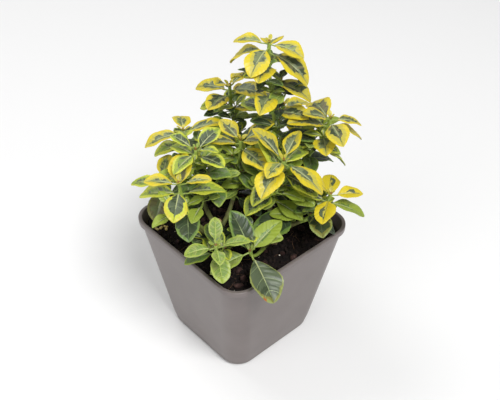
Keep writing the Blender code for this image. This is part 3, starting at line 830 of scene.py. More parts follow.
def scatter(name, grains, material):
    """Loose grains that lie on the soil, part sunk."""
    rng = np.random.default_rng(grains.seed)
    gathered = Gathered()
    shape = ball(1)
    least, largest = grains.sizes
    for _ in range(grains.count):
        size = least + (largest - least) * rng.uniform() ** 2
        x, y = soil_place(rng, size)
        stretch = [1 + (s - 1) * rng.uniform(*GRAIN_STRETCHES) for s in grains.stretch]
        rise = size * min(stretch) * rng.uniform(*GRAIN_RISE)
        place = np.array((x, y, soil_skin(x, y) + rise))
        lump(gathered, shape, place, size, stretch, grains, rng)
    piece = finished_piece(name, gathered, [material], sharp=60)


def scatter_on_wall(material):
    """Specks of soil that cling to the inside of the wall, above the soil."""
    rng = np.random.default_rng(WALL_CRUMBS.seed)
    gathered = Gathered()
    shape = ball(1)
    for _ in range(WALL_CRUMBS.count):
        z = POT_HEIGHT - SOIL_BELOW_RIM + WALL_CRUMB_REACH * rng.uniform() ** WALL_CRUMB_THINNING
        half = wall_half(z) - WALL
        side = rng.integers(4) * math.pi / 2
        cos, sin = math.cos(side), math.sin(side)
        along_wall = rng.uniform(-1, 1) * (half - CORNER_RADIUS)
        on_wall = np.array((half * cos - along_wall * sin, half * sin + along_wall * cos, z))
        size = rng.uniform(*WALL_CRUMBS.sizes)
        place = on_wall - WALL_CRUMB_SUNK * size * np.array((cos, sin, 0))
        lump(gathered, shape, place, size, WALL_CRUMBS.stretch, WALL_CRUMBS, rng)
    piece = finished_piece("wall_crumbs", gathered, [material], sharp=60)


def make_feed(material):
    """A few round, pale grains of slow feed, most of them together near the left corner."""
    rng = np.random.default_rng(FEED.seed)
    gathered = Gathered()
    shape = ball(3)
    for k in range(FEED.count):
        if k < FEED.count - FEED_STRAYS:
            x, y = (c + FEED_SPREAD * rng.uniform(-1, 1) for c in FEED_CLUSTER)
        else:
            x, y = soil_place(rng, FEED_MARGIN)
        size = rng.uniform(*FEED.sizes)
        place = np.array((x, y, soil_skin(x, y) + size * FEED_RISE))
        lump(gathered, shape, place, size, FEED.stretch, FEED, rng)
    piece = finished_piece("feed_grains", gathered, [material])


def make_fibres(material):
    """Short curled fibres that lie on the soil."""
    rng = np.random.default_rng(FIBRE_SEED)
    gathered = Gathered()
    for _ in range(FIBRES):
        x, y = soil_place(rng, FIBRE_MARGIN)
        way, length = rng.uniform(0, 2 * math.pi), rng.uniform(*FIBRE_REACH)
        curl = rng.uniform(-FIBRE_CURL, FIBRE_CURL)
        line = []
        for s in np.linspace(0, 1, FIBRE_STEPS + 1):
            line.append((x, y, soil_skin(x, y) + FIBRE_LIFT + FIBRE_ARCH * math.sin(math.pi * s)))
            x += math.cos(way + curl * s) * length / FIBRE_STEPS
            y += math.sin(way + curl * s) * length / FIBRE_STEPS
        limb(gathered, line, FIBRE_RADIUS * rng.uniform(*FIBRE_WIDTHS), FIBRE_SIDES, 0)
    piece = finished_piece("peat_fibres", gathered, [material])


# Limbs


def direction(azimuth, elevation):
    """The unit vector at this azimuth and elevation, both in radians."""
    flat = math.cos(elevation)
    return Vector((flat * math.cos(azimuth), flat * math.sin(azimuth), math.sin(elevation)))


def bud_point(shoot):
    """Where a shoot's path leaves the flank of its cutting, and the way that it sets out."""
    x, y = CUTTINGS[shoot.cutting]
    out = direction(math.radians(shoot.bud), 0)
    base = Vector((x, y, soil_top(x, y) + CUTTING_HEIGHT * shoot.rise))
    tilted_end = BOUGH_RADIUS * math.sin(SPROUT_RISE)
    off_axis = CUTTING_RADIUS * CUTTING_WIDTHS[1] + tilted_end + CLEARANCE
    return base + out * off_axis, direction(math.radians(shoot.bud), SPROUT_RISE)


def shoot_path(shoot):
    """The shoot's line from its bud to its tip, as evenly spaced points of a smooth curve."""
    start, sets_out = bud_point(shoot)
    x, y, above = shoot.tip
    end = Vector((x * MM, y * MM, POT_HEIGHT + above * MM))
    reach = (end - start).length
    lean = Vector((end.x - start.x, end.y - start.y, 0)) * LAST_LEAN
    control_1 = start + sets_out * reach * FIRST_PULL
    control_2 = end - (Vector((0, 0, reach * LAST_PULL)) + lean)
    rough = []
    for i in range(4 * PATH_POINTS + 1):
        t = i / (4 * PATH_POINTS)
        rough.append(
            start * (1 - t) ** 3
            + control_1 * 3 * t * (1 - t) ** 2
            + control_2 * 3 * t * t * (1 - t)
            + end * t**3
        )
    return even_points(rough, PATH_POINTS)


def even_points(rough, count):
    """Points at even distances along a line of many short steps."""
    reached = [0.0]
    for a, b in zip(rough, rough[1:]):
        reached.append(reached[-1] + (b - a).length)
    points, i = [], 0
    for k in range(count + 1):
        wanted = reached[-1] * k / count
        while i < len(rough) - 2 and reached[i + 1] < wanted:
            i += 1
        share = (wanted - reached[i]) / (reached[i + 1] - reached[i])
        points.append(rough[i].lerp(rough[i + 1], share))
    return points


def line_length(path):
    return sum((b - a).length for a, b in zip(path, path[1:]))


def along(path, distance):
    """The point at this distance along an evenly spaced path, and the path's way there."""
    step = line_length(path) / (len(path) - 1)
    i = min(int(distance / step), len(path) - 2)
    way = path[i + 1] - path[i]
    return path[i] + way * (distance / step - i), way.normalized()


def radius_at(share):
    return BOUGH_RADIUS + (TIP_RADIUS - BOUGH_RADIUS) * share


def grooved(points, sides, rib_depth, wart_depth, layer):
    """A limb's relief: faint ribs along it, and an uneven, warty skin."""
    angles = np.arange(sides) * 2 * math.pi / sides
    warts = np.empty((len(points), sides))
    for i, point in enumerate(points):
        for j, a in enumerate(angles):
            spot = Vector(point) * WARTS + Vector((math.cos(a), math.sin(a), layer)) * WART_SPREAD
            warts[i, j] = noise.noise(spot)
    return 1 + rib_depth * np.cos(RIBS * angles) + wart_depth * warts


def make_cutting(key, materials):
    """One woody cutting with its bark, from the soil to its cut top."""
    x, y = CUTTINGS[key]
    low, high = (v.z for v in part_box(f"cutting_{key}"))
    count = round((high - low) / CUTTING_STEP)
    heights = np.linspace(0, 1, count)
    points = [(x, y, low + (high - low) * t) for t in heights]
    radii = CUTTING_RADIUS * np.interp(heights, CUTTING_HEIGHTS, CUTTING_WIDTHS)
    paints = np.repeat((0, 1), (count * CUTTING_SIDES, CUTTING_SIDES))
    relief = grooved(points, CUTTING_SIDES, *CUTTING_RELIEF)
    gathered = Gathered()
    limb(gathered, points, radii, CUTTING_SIDES, paints, relief)
    piece = finished_piece(f"woody_cutting_{key}", gathered, materials, sharp=50)
    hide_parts(f"cutting_{key}")


def swollen(distances, radii, nodes):
    """Radii with a ring of swelling at each leaf pair."""
    for node in nodes:
        radii = radii + NODE_SWELL * np.exp(-(((distances - node) / NODE_REACH) ** 2))
    return radii


def make_bough(shoot, path, material):
    """The shoot's bare lower stretch, with young bark."""
    length = line_length(path)
    end = shoot.bare * length
    distances = np.linspace(0, end, round(end / LIMB_STEP))
    points = [along(path, d)[0] for d in distances]
    radii = swollen(distances, radius_at(distances / length), [end * BOUGH_NODE])
    gathered = Gathered()
    limb(gathered, points, radii, LIMB_SIDES, 0, grooved(points, LIMB_SIDES, *BOUGH_RELIEF))
    piece = finished_piece(f"limb_{shoot.name}", gathered, [material], sharp=60)
    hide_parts(f"bough_{shoot.name}")


def add_stem(gathered, shoot, path, nodes):
    """The shoot's leafy stretch, from just inside its bough to its tip."""
    length = line_length(path)
    start = shoot.bare * length - CLEARANCE
    distances = np.linspace(start, length, round((length - start) / LIMB_STEP))
    points = [along(path, d)[0] for d in distances]
    radii = swollen(distances, radius_at(distances / length), [length - n for n in nodes])
    limb(gathered, points, radii, LIMB_SIDES, 0, grooved(points, LIMB_SIDES, *STEM_RELIEF))


def add_twig(gathered, line, radius):
    """A side twig along a line, rounded at its bends."""
    ends = [line[0], *line, line[-1]]
    points = []
    for a, b, c, d in zip(ends, ends[1:], ends[2:], ends[3:]):
        bend = a * 2 - b * 5 + c * 4 - d
        twist = b * 3 - a - c * 3 + d
        for t in np.linspace(0, 1, TWIG_STEPS, endpoint=False):
            points.append((b * 2 + (c - a) * t + bend * t**2 + twist * t**3) * 0.5)
    points.append(line[-1])
    widths = np.linspace(radius, radius * TWIG_TAPER, len(points))
    limb(gathered, points, widths, TWIG_SIDES, 0)


def add_bud(gathered, line, length):
    """A pointed egg of a bud, which goes on from the end of a line."""
    way = (line[-1] - line[-2]).normalized()
    shares = np.linspace(0, 1, BUD_RINGS)
    points = [line[-1] + way * length * t for t in shares]
    radii = length * BUD_GIRTH * np.sqrt(np.sin(math.pi * (BUD_ARC[0] + BUD_ARC[1] * shares)))
    limb(gathered, points, radii, TWIG_SIDES, PAINT["bud"])


# Leaves, by the rule of the solids


def pair_distances(shoot, length):
    """Where the pairs stand, as distances back from the shoot's tip: crowded, then open."""
    places, back = [], APEX_GAP
    for k in range(shoot.pairs):
        places.append(back)
        back += CROWDED_STEP * (1 + 0.5 * k) if k < CROWDED_PAIRS - 1 else OPEN_STEP
    room = length * (1 - shoot.bare) - LOWEST_GAP
    shrink = min(1.0, room / places[-1])
    return [place * shrink for place in places]


def pair_leaves(root, azimuth, pitch, droop, length, rng):
    """The two leaves of a pair, opposite each other, each a little its own."""
    pair = []
    for half_turn in (0, math.pi):
        size = length * rng.uniform(*LENGTHS)
        leaf = Leaf(
            root,
            azimuth + half_turn + rng.uniform(-AZIMUTH_SPREAD, AZIMUTH_SPREAD),
            pitch + rng.uniform(-PITCH_SPREAD, PITCH_SPREAD),
            droop * rng.uniform(*DROOPS),
            PETIOLE * rng.uniform(*PETIOLES),
            size,
            size * WIDTH_SHARE * rng.uniform(*WIDTHS),
            rng.uniform(-ROLL_SPREAD, ROLL_SPREAD),
        )
        pair.append(leaf)
    return pair


def leaned(leaf, shoot):
    """The leaf, lowered on the side to which its shoot leans and raised on the other."""
    x, y, _ = shoot.tip
    lean = LEAN * min(1, math.hypot(x, y) * MM / LEAN_REACH)
    return leaf._replace(pitch=leaf.pitch - lean * math.cos(leaf.azimuth - math.atan2(y, x)))


def shoot_pairs(shoot, path, rng):
    """The main stem's pairs from the tip down: small and raised first, then full and spread."""
    length = line_length(path)
    pairs = []
    for k, back in enumerate(pair_distances(shoot, length)):
        root, _ = along(path, length - back)
        azimuth = math.radians(shoot.turn + 90 * k) + rng.uniform(-TURN_SPREAD, TURN_SPREAD)
        crowded = k < CROWDED_PAIRS
        size = shoot.leaf * MM * (CROWDED_SIZES[k] if crowded else rng.uniform(*LOWER_SIZES))
        pitch = shoot.pitch + CROWDED_RAISE[k] if crowded else rng.uniform(*LOWER_PITCHES)
        droop = math.radians(shoot.droop * CROWDED_DROOP[min(k, CROWDED_PAIRS - 1)])
        pair = pair_leaves(root, azimuth, math.radians(pitch), droop, size, rng)
        pairs.append([leaned(leaf, shoot) for leaf in pair])
    return pairs


def twig_line(shoot, path, k, rng):
    """A side twig from the axil of a lower pair: it leaves at a slant and turns up."""
    length = line_length(path)
    spots = pair_distances(shoot, length)
    spot = spots[min(TWIG_FROM + k, len(spots) - 1)]
    root, way = along(path, length - spot - TWIG_FOOT[0] - TWIG_FOOT[1] * k)
    side = math.radians(shoot.turn + TWIG_TURN[0] + TWIG_TURN[1] * k)
    side += rng.uniform(-TWIG_TURN_SPREAD, TWIG_TURN_SPREAD)
    out = direction(side, TWIG_RISE)
    reach = rng.uniform(*TWIG_REACH)
    bend = root + out * reach * TWIG_BEND
    end = bend + (way + out * TWIG_OUTWARD).normalized() * reach * TWIG_END
    return [root, root.lerp(bend, TWIG_BOW[0]) + way * TWIG_BOW[1], bend, end]


def twig_pairs(line, rng):
    """Two small pairs at a twig's end."""
    end, before = line[-1], line[-2]
    turn = rng.uniform(0, math.pi)
    lower = end.lerp(before, TWIG_PAIR_STEP)
    small = rng.uniform(*SMALL_TWIG_LEAF)
    large = rng.uniform(*LARGE_TWIG_LEAF)
    return [
        pair_leaves(end, turn, *SMALL_TWIG_POSE, small, rng),
        pair_leaves(lower, turn + math.pi / 2, *LARGE_TWIG_POSE, large, rng),
    ]


def leaf_tip(leaf):
    bend = leaf.droop / leaf.length
    start = leaf.root + direction(leaf.azimuth, leaf.pitch) * leaf.petiole
    elevation = leaf.pitch - leaf.droop
    run = (math.sin(leaf.pitch) - math.sin(elevation)) / bend
    rise = (math.cos(elevation) - math.cos(leaf.pitch)) / bend
    return start + direction(leaf.azimuth, 0) * run + Vector((0, 0, rise))


def solid_points(node):
    """The corners of a node's solid, ready to search."""
    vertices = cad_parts[node].data.vertices
    tree = KDTree(len(vertices))
    for v in vertices:
        tree.insert(v.co, v.index)
    tree.balance()
    return tree


def forms(leaf, changes):
    """The leaf in each of its forms: lifted by so many degrees, and at a share of its size."""
    for lift, size in changes:
        pitch = leaf.pitch + math.radians(lift)
        yield leaf._replace(pitch=pitch, length=leaf.length * size, width=leaf.width * size)


def standing_form(leaf, corners):
    """The form in which the solid holds this leaf, or None where it was left out."""
    for tried in forms(leaf, RETRIES):
        if corners.find(leaf_tip(tried))[2] < TIP_MATCH:
            return tried
    return None


def grown_shoot(index, shoot, path):
    """The leaves of the shoot's solid, each with its rank from the tip, and its twigs' lines."""
    rng = random.Random(FIRST_SEED + index)
    corners = solid_points(f"shoot_{shoot.name}")
    grown, lines = [], []
    for rank, pair in enumerate(shoot_pairs(shoot, path, rng)):
        standing = [standing_form(leaf, corners) for leaf in pair]
        grown += [Grown(leaf, rank, side) for side, leaf in enumerate(standing) if leaf]
    for k in range(shoot.twigs):
        line = twig_line(shoot, path, k, rng)
        standing = [standing_form(leaf, corners) for pair in twig_pairs(line, rng) for leaf in pair]
        on_twig = [Grown(leaf, -1, 0) for leaf in standing if leaf]
        if on_twig:
            lines.append(line)
            grown += on_twig
    return grown, lines


# The fine leaf


class Blade:
    """A leaf blade's grid. Its cross lines follow the side veins, with two lines to each vein."""

    def __init__(self, veins, between, at_tip):
        rows = [(0.0, 0, 0.0, 0, 0)]
        for sector, (low, high) in enumerate(zip((0.0, *veins), (*veins, 1.0))):
            count = at_tip if high == 1.0 else between
            for k in range(1, count + 1):
                share = k / (count + 1)
                rows.append((low + (high - low) * share, 0, share, sector, k % 2))
            if high < 1.0:
                rows.append((high, -1, 1.0, sector, 0))
                rows.append((high, 1, 0.0, sector + 1, 0))
        rows.append((1.0, 0, 1.0, len(veins), 0))
        table = np.array(rows)
        self.start, self.side_of_vein, self.phase, _, self.tooth = table.T
        self.sector = table[:, 3].astype(int)
        self.sectors = len(veins) + 1
        self.rows = len(rows)
        self.strips = np.array((6, 5, 4, 3, 2, 1, 0, 0, 1, 2, 3, 4, 5, 6))
        self.signs = np.array([1] * 7 + [0] + [-1] * 7)
        self.is_pale = (self.side_of_vein[1:] == 1) & (self.sector[1:] % 2 == 0)
        self.faces = self.closed_faces()

    def closed_faces(self):
        """Top, underside and rim of the closed blade. The underside's points follow the top's."""
        columns = len(self.signs)
        below = self.rows * columns
        grid = np.arange(below).reshape(self.rows, columns)
        corner = grid[:-1, :-1].reshape(-1)
        top = np.stack((corner, corner + 1, corner + columns + 1, corner + columns), -1)
        edge = np.concatenate((grid[:, 0], grid[-1, 1:], grid[-2::-1, -1], grid[0, -2::-1]))
        here, following = edge[:-1], edge[1:]
        rim = np.stack((here, following, following + below, here + below), -1)
        return np.concatenate((top, top[:, ::-1] + below, rim))


FINE = Blade(VEINS, between=3, at_tip=5)
SMALL = Blade(SMALL_VEINS, between=1, at_tip=3)
PAINT = {name: k for k, name in enumerate(PAINTS)}


def midrib_frames(leaf, t, twist):
    """Midrib points at shares t, and the ways sideways and up there."""
    bend = leaf.droop / leaf.length
    elevation = leaf.pitch - leaf.droop * t
    flat = np.array((math.cos(leaf.azimuth), math.sin(leaf.azimuth), 0.0))
    left = np.array((-flat[1], flat[0], 0.0))
    run = leaf.petiole * math.cos(leaf.pitch) + (math.sin(leaf.pitch) - np.sin(elevation)) / bend
    rise = leaf.petiole * math.sin(leaf.pitch) + (np.cos(elevation) - math.cos(leaf.pitch)) / bend
    point = np.array(leaf.root) + run[..., None] * flat + rise[..., None] * UP
    level_up = -np.sin(elevation)[..., None] * flat + np.cos(elevation)[..., None] * UP
    roll = (leaf.roll + twist * (t - TWIST_CENTRE))[..., None]
    side = left * np.cos(roll) + level_up * np.sin(roll)
    return point, side, level_up * np.cos(roll) - left * np.sin(roll)


def half_widths(leaf, t, widest, fullness):
    """The blade's half width at shares t: drawn in to the stalk, full beyond, and blunt at the tip."""
    body = np.sin(math.pi * np.clip(t, 0, 1) ** widest)
    least = NECK_HALF_WIDTH * (1 - t) + TIP_HALF_WIDTH * t
    power = fullness + NECK_PULL * (1 - t) ** 3 + TIP_PULL * t**6
    return np.maximum(BREADTH * leaf.width / 2 * np.clip(body, 0, 1) ** power, least)


def borders(blade, look, rng):
    """How far the leaf's middle colour reaches at each cross line, on its two sides."""
    if look.border[0] < THIN_BORDER:
        return patched_borders(blade, look, rng)
    middles = (np.arange(blade.sectors) + 0.5) / blade.sectors
    sides = []
    for _ in range(2):
        reach, stop = rng.uniform(*look.border), rng.uniform(*look.tip)
        narrowing = (1 - np.clip(blade.start / stop, 0, 1) ** 3) ** 0.7
        bends = 1 + look.ragged * rng.uniform(-1, 1, blade.sectors)
        border = reach * narrowing * np.interp(blade.start, middles, bends)
        for _ in range(rng.integers(*SPIKES)):
            at, width = rng.uniform(SPIKE_FROM, stop), rng.uniform(*SPIKE_WIDTH)
            border += look.ragged * rng.uniform(-1, 1) * np.exp(-(((blade.start - at) / width) ** 2))
        sides.append(np.maximum(border + FRAY * rng.normal(0, 1, blade.rows), LEAST_BORDER))
    return sides


def patched_borders(blade, look, rng):
    """Borders of a leaf whose middle colour is a lone patch on one side of the midrib."""
    at, reach = rng.uniform(*PATCH_PLACE), rng.uniform(*PATCH_REACH)
    patch = look.border[1] * np.clip(1 - ((blade.start - at) / reach) ** 2, 0, 1) ** 0.6
    sides = [patch + FRAY * rng.normal(0, 1, blade.rows), np.full(blade.rows, look.border[0])]
    return sides if rng.uniform() < 0.5 else sides[::-1]


def side_columns(blade, start, band, rng):
    """One side's columns: shares of the way to the border, of the way beyond it, and the edge."""
    first, second, third = WANDER * rng.normal(0, 1, (3, blade.rows)).clip(-WANDER_LIMIT, WANDER_LIMIT)
    inside = (0, INNER_COLUMNS[0] + first, INNER_COLUMNS[1] + second, 1)
    outside = (band + third, OUTER_COLUMN)
    wave = np.sin(2 * math.pi * (rng.uniform(*OUTLINE_CYCLES) * start + rng.uniform(0, 1)))
    edge = 1 + TOOTH * (blade.tooth - 0.5) + OUTLINE_WAVE * (wave - 0.5)
    return inside, outside, edge


def blade_grid(blade, leaf, look, rng):
    """The blade's grid: shares of the length, shares of the half width, and half widths."""
    widest, fullness = rng.uniform(*WIDEST), rng.uniform(*FULLNESS)
    if look is LOOKS["old"]:
        widest, fullness = widest * OLD_SHAPE[0], fullness * OLD_SHAPE[1]
    start = blade.start + rng.uniform(-ROW_SHIFT, ROW_SHIFT) * np.sin(math.pi * blade.start)
    rib = np.interp(start, (0, 1), MIDRIB_HALF_WIDTH) / half_widths(leaf, start, widest, fullness)
    rib = np.clip(rib, *MIDRIB_SHARES)
    band = rng.uniform(*BORDER_BAND)
    columns = []
    for border in borders(blade, look, rng):
        border = np.clip(border, rib + BORDER_LIMITS[0], BORDER_LIMITS[1])
        inside, outside, edge = side_columns(blade, start, band, rng)
        inside = [rib + (border - rib) * k for k in inside]
        outside = [border + (1 - border) * k for k in outside]
        columns.append(np.stack((*inside, *outside, edge), -1))
    left, right = columns
    u = np.concatenate((left[:, ::-1], np.zeros((blade.rows, 1)), right), axis=1)
    slant = VEIN_SLANT * leaf.width / 2 / leaf.length * np.sin(math.pi * start)[:, None]
    spread = (blade.side_of_vein * VEIN_HALF_WIDTH / leaf.length)[:, None] * (1 - VEIN_TAPER * u)
    t = np.clip(start[:, None] + spread + slant * u**VEIN_CURVE, 0, 1)
    return t, u, half_widths(leaf, t, widest, fullness)


def add_leaf(gathered, blade, leaf, look, rng):
    """One leaf: its closed blade, and its stalk, which runs on below as the midrib."""
    t, u, half = blade_grid(blade, leaf, look, rng)
    twist, flatten = rng.uniform(-TWIST, TWIST), rng.uniform(*FLATTEN)
    point, side, up = midrib_frames(leaf, t, twist)
    fold = math.sin(FOLD) * np.maximum(half - PETIOLE_HALF_WIDTH, 0) * rng.uniform(*FOLDS)
    lift = fold * ((1 + flatten) * u - flatten * u**3)
    size = leaf.length / FULL_LENGTH
    cushion = (np.sin(math.pi * blade.phase) ** QUILT_POWER)[:, None]
    lift += QUILT * size * cushion * np.sin(math.pi * u.clip(0, 1))
    phase = 2 * math.pi * (EDGE_CYCLES * t + rng.uniform(0, 1))
    ripple = np.sin(phase + blade.signs * rng.uniform(*EDGE_SHIFT))
    lift += EDGE_WAVE * size * ripple * u**2 * np.sin(math.pi * t)
    lift -= GROOVE * size * (blade.signs == 0) * (1 - t * GROOVE_TAPER)
    top = point + (blade.signs * u * half)[..., None] * side + lift[..., None] * up
    thick = LEAF_THICKNESS * size**0.5 * (1 - (1 - EDGE_SHARE) * u)
    under = top - thick[..., None] * up
    both = np.concatenate((top.reshape(-1, 3), under.reshape(-1, 3)))
    gathered.add(both, blade.faces, blade_paints(blade, look, rng))
    add_stalk(gathered, leaf, twist, size)


def blade_paints(blade, look, rng):
    """The paint of each face of the closed blade."""
    swapped = rng.uniform() >= UNSWAPPED
    centre, patch = (look.patch, look.centre) if swapped else (look.centre, look.patch)
    by_strip = [look.rib, look.halo, centre, centre, look.inner, look.margin, look.margin]
    numbers = np.array([PAINT[name] for name in by_strip])
    plain = np.tile(numbers[blade.strips], (blade.rows - 1, 1))
    streaked = np.concatenate((streaks(blade, rng)[:, ::-1], streaks(blade, rng)), axis=1)
    top = np.where(streaked & np.isin(blade.strips, (1, 2, 3)), PAINT[patch], plain)
    veined = (blade.strips > 0) & (blade.strips <= look.veined)
    top = np.where(blade.is_pale[:, None] & veined, PAINT[look.vein], top)
    for end, name in zip(RIB_ENDS, (look.vein, look.inner)):
        beyond = (blade.start[1:] > end)[:, None] & (blade.strips == 0)
        top = np.where(beyond, PAINT[name], top)
    if look is LOOKS["old"]:
        rusty = (blade.start[1:] > RUST_REACH[0]) & (blade.start[1:] < RUST_REACH[1])
        top[rusty, -2:] = PAINT["rust"]
    under = np.where(blade.strips < 4, PAINT["under"], plain)
    rim = np.full(len(blade.faces) - 2 * top.size, PAINT[look.margin])
    return np.concatenate((top.reshape(-1), under.reshape(-1), rim))


def streaks(blade, rng):
    """Which cells of one side of a blade are blotched: in streaks that run along the side veins."""
    strips = blade.strips[7:]
    rows = (blade.start[1:] + blade.start[:-1]) / 2
    blotched = np.zeros((len(rows), len(strips)), bool)
    for _ in range(rng.integers(*STREAKS)):
        at, strip = rng.uniform(*STREAK_PLACE), rng.uniform(*STREAK_STRIP)
        reach, width = rng.uniform(*STREAK_REACH), rng.uniform(*STREAK_WIDTH)
        far = ((rows - at) / width)[:, None] ** 2 + ((strips - strip) / reach)[None, :] ** 2
        blotched |= far < 1
    return blotched


def add_stalk(gathered, leaf, twist, size):
    """The leaf's stalk, from inside the stem to the blade and on under the midrib."""
    t = np.array(STALK_SHARES)
    point, _, up = midrib_frames(leaf, t, twist)
    radii = np.interp(t, (0, 1), (STALK_RADIUS, STALK_END_RADIUS)) * size**STALK_POWER
    below = point - up * (LEAF_THICKNESS * 0.7 + radii)[:, None]
    root = np.array(leaf.root)
    neck = root + (below[0] - root) * 0.5 + up[0] * STALK_LIFT
    line = np.concatenate(([root, neck], below))
    widths = np.concatenate(([radii[0] * STALK_FOOT, radii[0]], radii))
    limb(gathered, line, widths, STALK_SIDES, PAINT["stalk"])


def look_of(shoot, rank, side, rng):
    """A leaf's look by its place. A pair's two names go to its two leaves."""
    if rank < 0:
        return LOOKS[TWIG_DRESS[rng.integers(len(TWIG_DRESS))]]
    pairs = DRESS[shoot.name].split(", ")
    names = pairs[min(rank, len(pairs) - 1)].split()
    return LOOKS[names[side % len(names)]]


# Finer growth


class Space:
    """The cells of space that leaves and limbs take. Finer growth keeps clear of them."""

    def __init__(self):
        self.taken = set()

    def cells(self, points):
        rows = np.unique(np.floor(np.asarray(points).reshape(-1, 3) / CELL).astype(int), axis=0)
        return set(map(tuple, rows))

    def take(self, points):
        self.taken |= self.cells(points)

    def is_free(self, points):
        return self.taken.isdisjoint(self.cells(points))


def cell_points(length):
    """How many points along this length leave no cell out."""
    return max(LEAST_POINTS, math.ceil(length / CELL * POINTS_A_CELL))


def spread_points(leaf, first=0.0):
    """Points all over a leaf's blade, from this share of its length on."""
    t = np.linspace(first, 1, cell_points(leaf.length))
    point, side, up = midrib_frames(leaf, t, 0.0)
    across = np.linspace(-ACROSS, ACROSS, cell_points(leaf.width))
    reach = half_widths(leaf, t, *MEAN_SHAPE)[:, None] * across
    lift = math.sin(FOLD) * np.abs(reach)
    return point[:, None] + reach[..., None] * side[:, None] + lift[..., None] * up[:, None]


def take_shoot(space, path, grown):
    space.take([tuple(p) for p in path])
    for leaf, *_ in grown:
        space.take(spread_points(leaf))


def fitted(leaf, space, low, high):
    """The first form of a young leaf that has room within its shoot's reach, or None."""
    for tried in forms(leaf, SPRIG_FORMS):
        points = spread_points(tried, FREE_FROM)
        inside = (points >= np.array(low)).all() and (points <= np.array(high)).all()
        if inside and space.is_free(points):
            space.take(points)
            return tried
    return None


def young_pair(root, azimuth, pitch, length, rng):
    """Two young leaves, opposite each other, on hardly any stalk."""
    pair = pair_leaves(root, azimuth, pitch, YOUNG_DROOP, length, rng)
    return [leaf._replace(petiole=YOUNG_PETIOLE * rng.uniform(*YOUNG_PETIOLES)) for leaf in pair]


def tip_growth(shoot, path, rng):
    """The youngest pairs, which stand up round the bud at the shoot's tip."""
    pairs = []
    for turn, pitch, length in YOUNG_PAIRS:
        azimuth = math.radians(shoot.turn + turn)
        size = length * rng.uniform(*YOUNG_SIZES)
        pairs += young_pair(path[-1], azimuth, math.radians(pitch), size, rng)
    return pairs


def sprigs(shoot, path, space, rng):
    """Short twigs of young leaves in the axils of the lower pairs: rank, line and leaves of each."""
    length = line_length(path)
    low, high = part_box(f"shoot_{shoot.name}")
    made = []
    for rank, back in enumerate(pair_distances(shoot, length)):
        if rank < SPRIG_RANK:
            continue
        root, _ = along(path, length - back + SPRIG_ABOVE)
        for half_turn in (0, math.pi):
            azimuth = math.radians(shoot.turn + 90 * rank) + half_turn
            azimuth += rng.uniform(-SPRIG_SPREAD, SPRIG_SPREAD)
            out = direction(azimuth, math.radians(rng.uniform(*SPRIG_RISE)))
            end = root + out * rng.uniform(*SPRIG_STEM)
            top = end + out * SPRIG_TOP
            pitch = math.radians(rng.uniform(*SPRIG_PITCH))
            wide = young_pair(end, azimuth + math.pi / 2, pitch, rng.uniform(*SPRIG_LEAF), rng)
            young = young_pair(top, azimuth, SPRIG_YOUNG_PITCH, rng.uniform(*SPRIG_YOUNG), rng)
            leaves = [fitted(leaf, space, low, high) for leaf in wide]
            leaves = [leaf for leaf in leaves if leaf]
            if leaves:
                bend = root.lerp(end, 0.5) - Vector((0, 0, SPRIG_SAG))
                made.append((rank, (root, bend, end, top), leaves + young))
    return made


def make_shoot(index, shoot, path, grown, lines, space, leaf_paints, stem_paints):
    """One leafy shoot: its stem and twigs in one piece, its leaves and buds in another."""
    _, _, young_bark, green_stem = stem_paints
    make_bough(shoot, path, young_bark)
    rng = np.random.default_rng(LEAF_SEED + index)
    leaves, stems = Gathered(), Gathered()
    add_stem(stems, shoot, path, pair_distances(shoot, line_length(path)))
    for line in lines:
        add_twig(stems, line, TWIG_RADIUS)
    for leaf, rank, side in grown:
        add_leaf(leaves, FINE, leaf, look_of(shoot, rank, side, rng), rng)
    young_rng = random.Random(SPRIG_SEED + index)
    for rank, line, young in sprigs(shoot, path, space, young_rng):
        add_twig(stems, line, SPRIG_RADIUS)
        names = HIGH_SPRIGS if rank < HIGH_RANKS else LOW_SPRIGS
        look = LOOKS[names[young_rng.randrange(len(names))]]
        for leaf in young:
            add_leaf(leaves, SMALL, leaf, look, rng)
        add_bud(leaves, line, AXIL_BUD_LENGTH)
    golden = look_of(shoot, 0, 0, rng).margin == "gold"
    for leaf in tip_growth(shoot, path, young_rng):
        add_leaf(leaves, SMALL, leaf, LOOKS["young" if golden else "fresh"], rng)
    add_bud(leaves, path, BUD_LENGTH)
    piece = finished_piece(f"leaves_{shoot.name}", leaves, leaf_paints)
    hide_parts(f"shoot_{shoot.name}")
    piece = finished_piece(f"stem_{shoot.name}", stems, [green_stem], sharp=60)


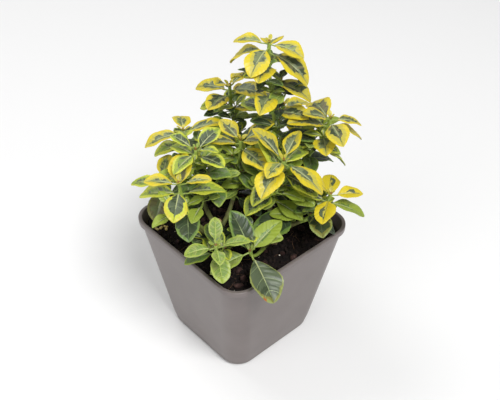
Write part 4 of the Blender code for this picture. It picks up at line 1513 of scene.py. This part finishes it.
def make_shoots(leaf_paints, stem_paints):
    """All the shoots: first the solids' own leaves, then the finer growth in what room is left."""
    space = Space()
    plans = []
    for index, shoot in enumerate(SHOOTS):
        path = shoot_path(shoot)
        grown, lines = grown_shoot(index, shoot, path)
        take_shoot(space, path, grown)
        plans.append((index, shoot, path, grown, lines))
    for plan in plans:
        make_shoot(*plan, space, leaf_paints, stem_paints)


# Studio


def make_floor():
    bm = bmesh.new()
    bmesh.ops.create_circle(bm, cap_ends=True, segments=FLOOR_SIDES, radius=FLOOR_RADIUS)
    floor = linked("studio_floor", mesh_from(bm, "studio_floor"))
    floor.data.materials.append(new_material("floor_paper", (238, 238, 238), 0.9, 0.1))


def facing(place, aim):
    """The turn of a camera or light at this place that looks at this point."""
    return (Vector(aim) - Vector(place)).to_track_quat("-Z", "Y")


def add_light(name, place, size, watts):
    lamp = bpy.data.lights.new(name, "AREA")
    lamp.shape = "DISK"
    lamp.size = size
    lamp.energy = watts
    made = linked(name, lamp)
    made.location = place
    made.rotation_euler = facing(place, LIGHT_AIM).to_euler()


def make_studio():
    """The floor, a white world and soft lights, under a plain view transform."""
    make_floor()
    world = bpy.data.worlds.new("studio")
    world.use_nodes = True
    background = world.node_tree.nodes["Background"]
    background.inputs["Color"].default_value = (1, 1, 1, 1)
    background.inputs["Strength"].default_value = WORLD_STRENGTH
    bpy.context.scene.world = world
    for light in LIGHTS:
        add_light(*light)
    bpy.context.scene.view_settings.view_transform = "Standard"


def make_camera():
    lens = bpy.data.cameras.new("view")
    lens.lens = CAMERA_LENS
    lens.clip_start = CAMERA_NEAR
    camera = linked("view", lens)
    turn = facing(CAMERA_PLACE, CAMERA_AIM).to_matrix() @ Matrix.Rotation(CAMERA_ROLL, 3, "Z")
    camera.matrix_world = Matrix.Translation(CAMERA_PLACE) @ turn.to_4x4()
    bpy.context.scene.camera = camera


def main():
    make_pot()
    peat, crumb, chip, speck, feed, fibre = soil_materials()
    make_soil(peat)
    scatter("soil_crumbs", CRUMBS, crumb)
    scatter("bark_chips", CHIPS, chip)
    scatter("pale_specks", SPECKS, speck)
    scatter_on_wall(crumb)
    make_feed(feed)
    make_fibres(fibre)
    woods = wood_materials()
    for key in CUTTINGS:
        make_cutting(key, woods)
    make_shoots(leaf_materials(), woods)
    make_studio()
    make_camera()


main()
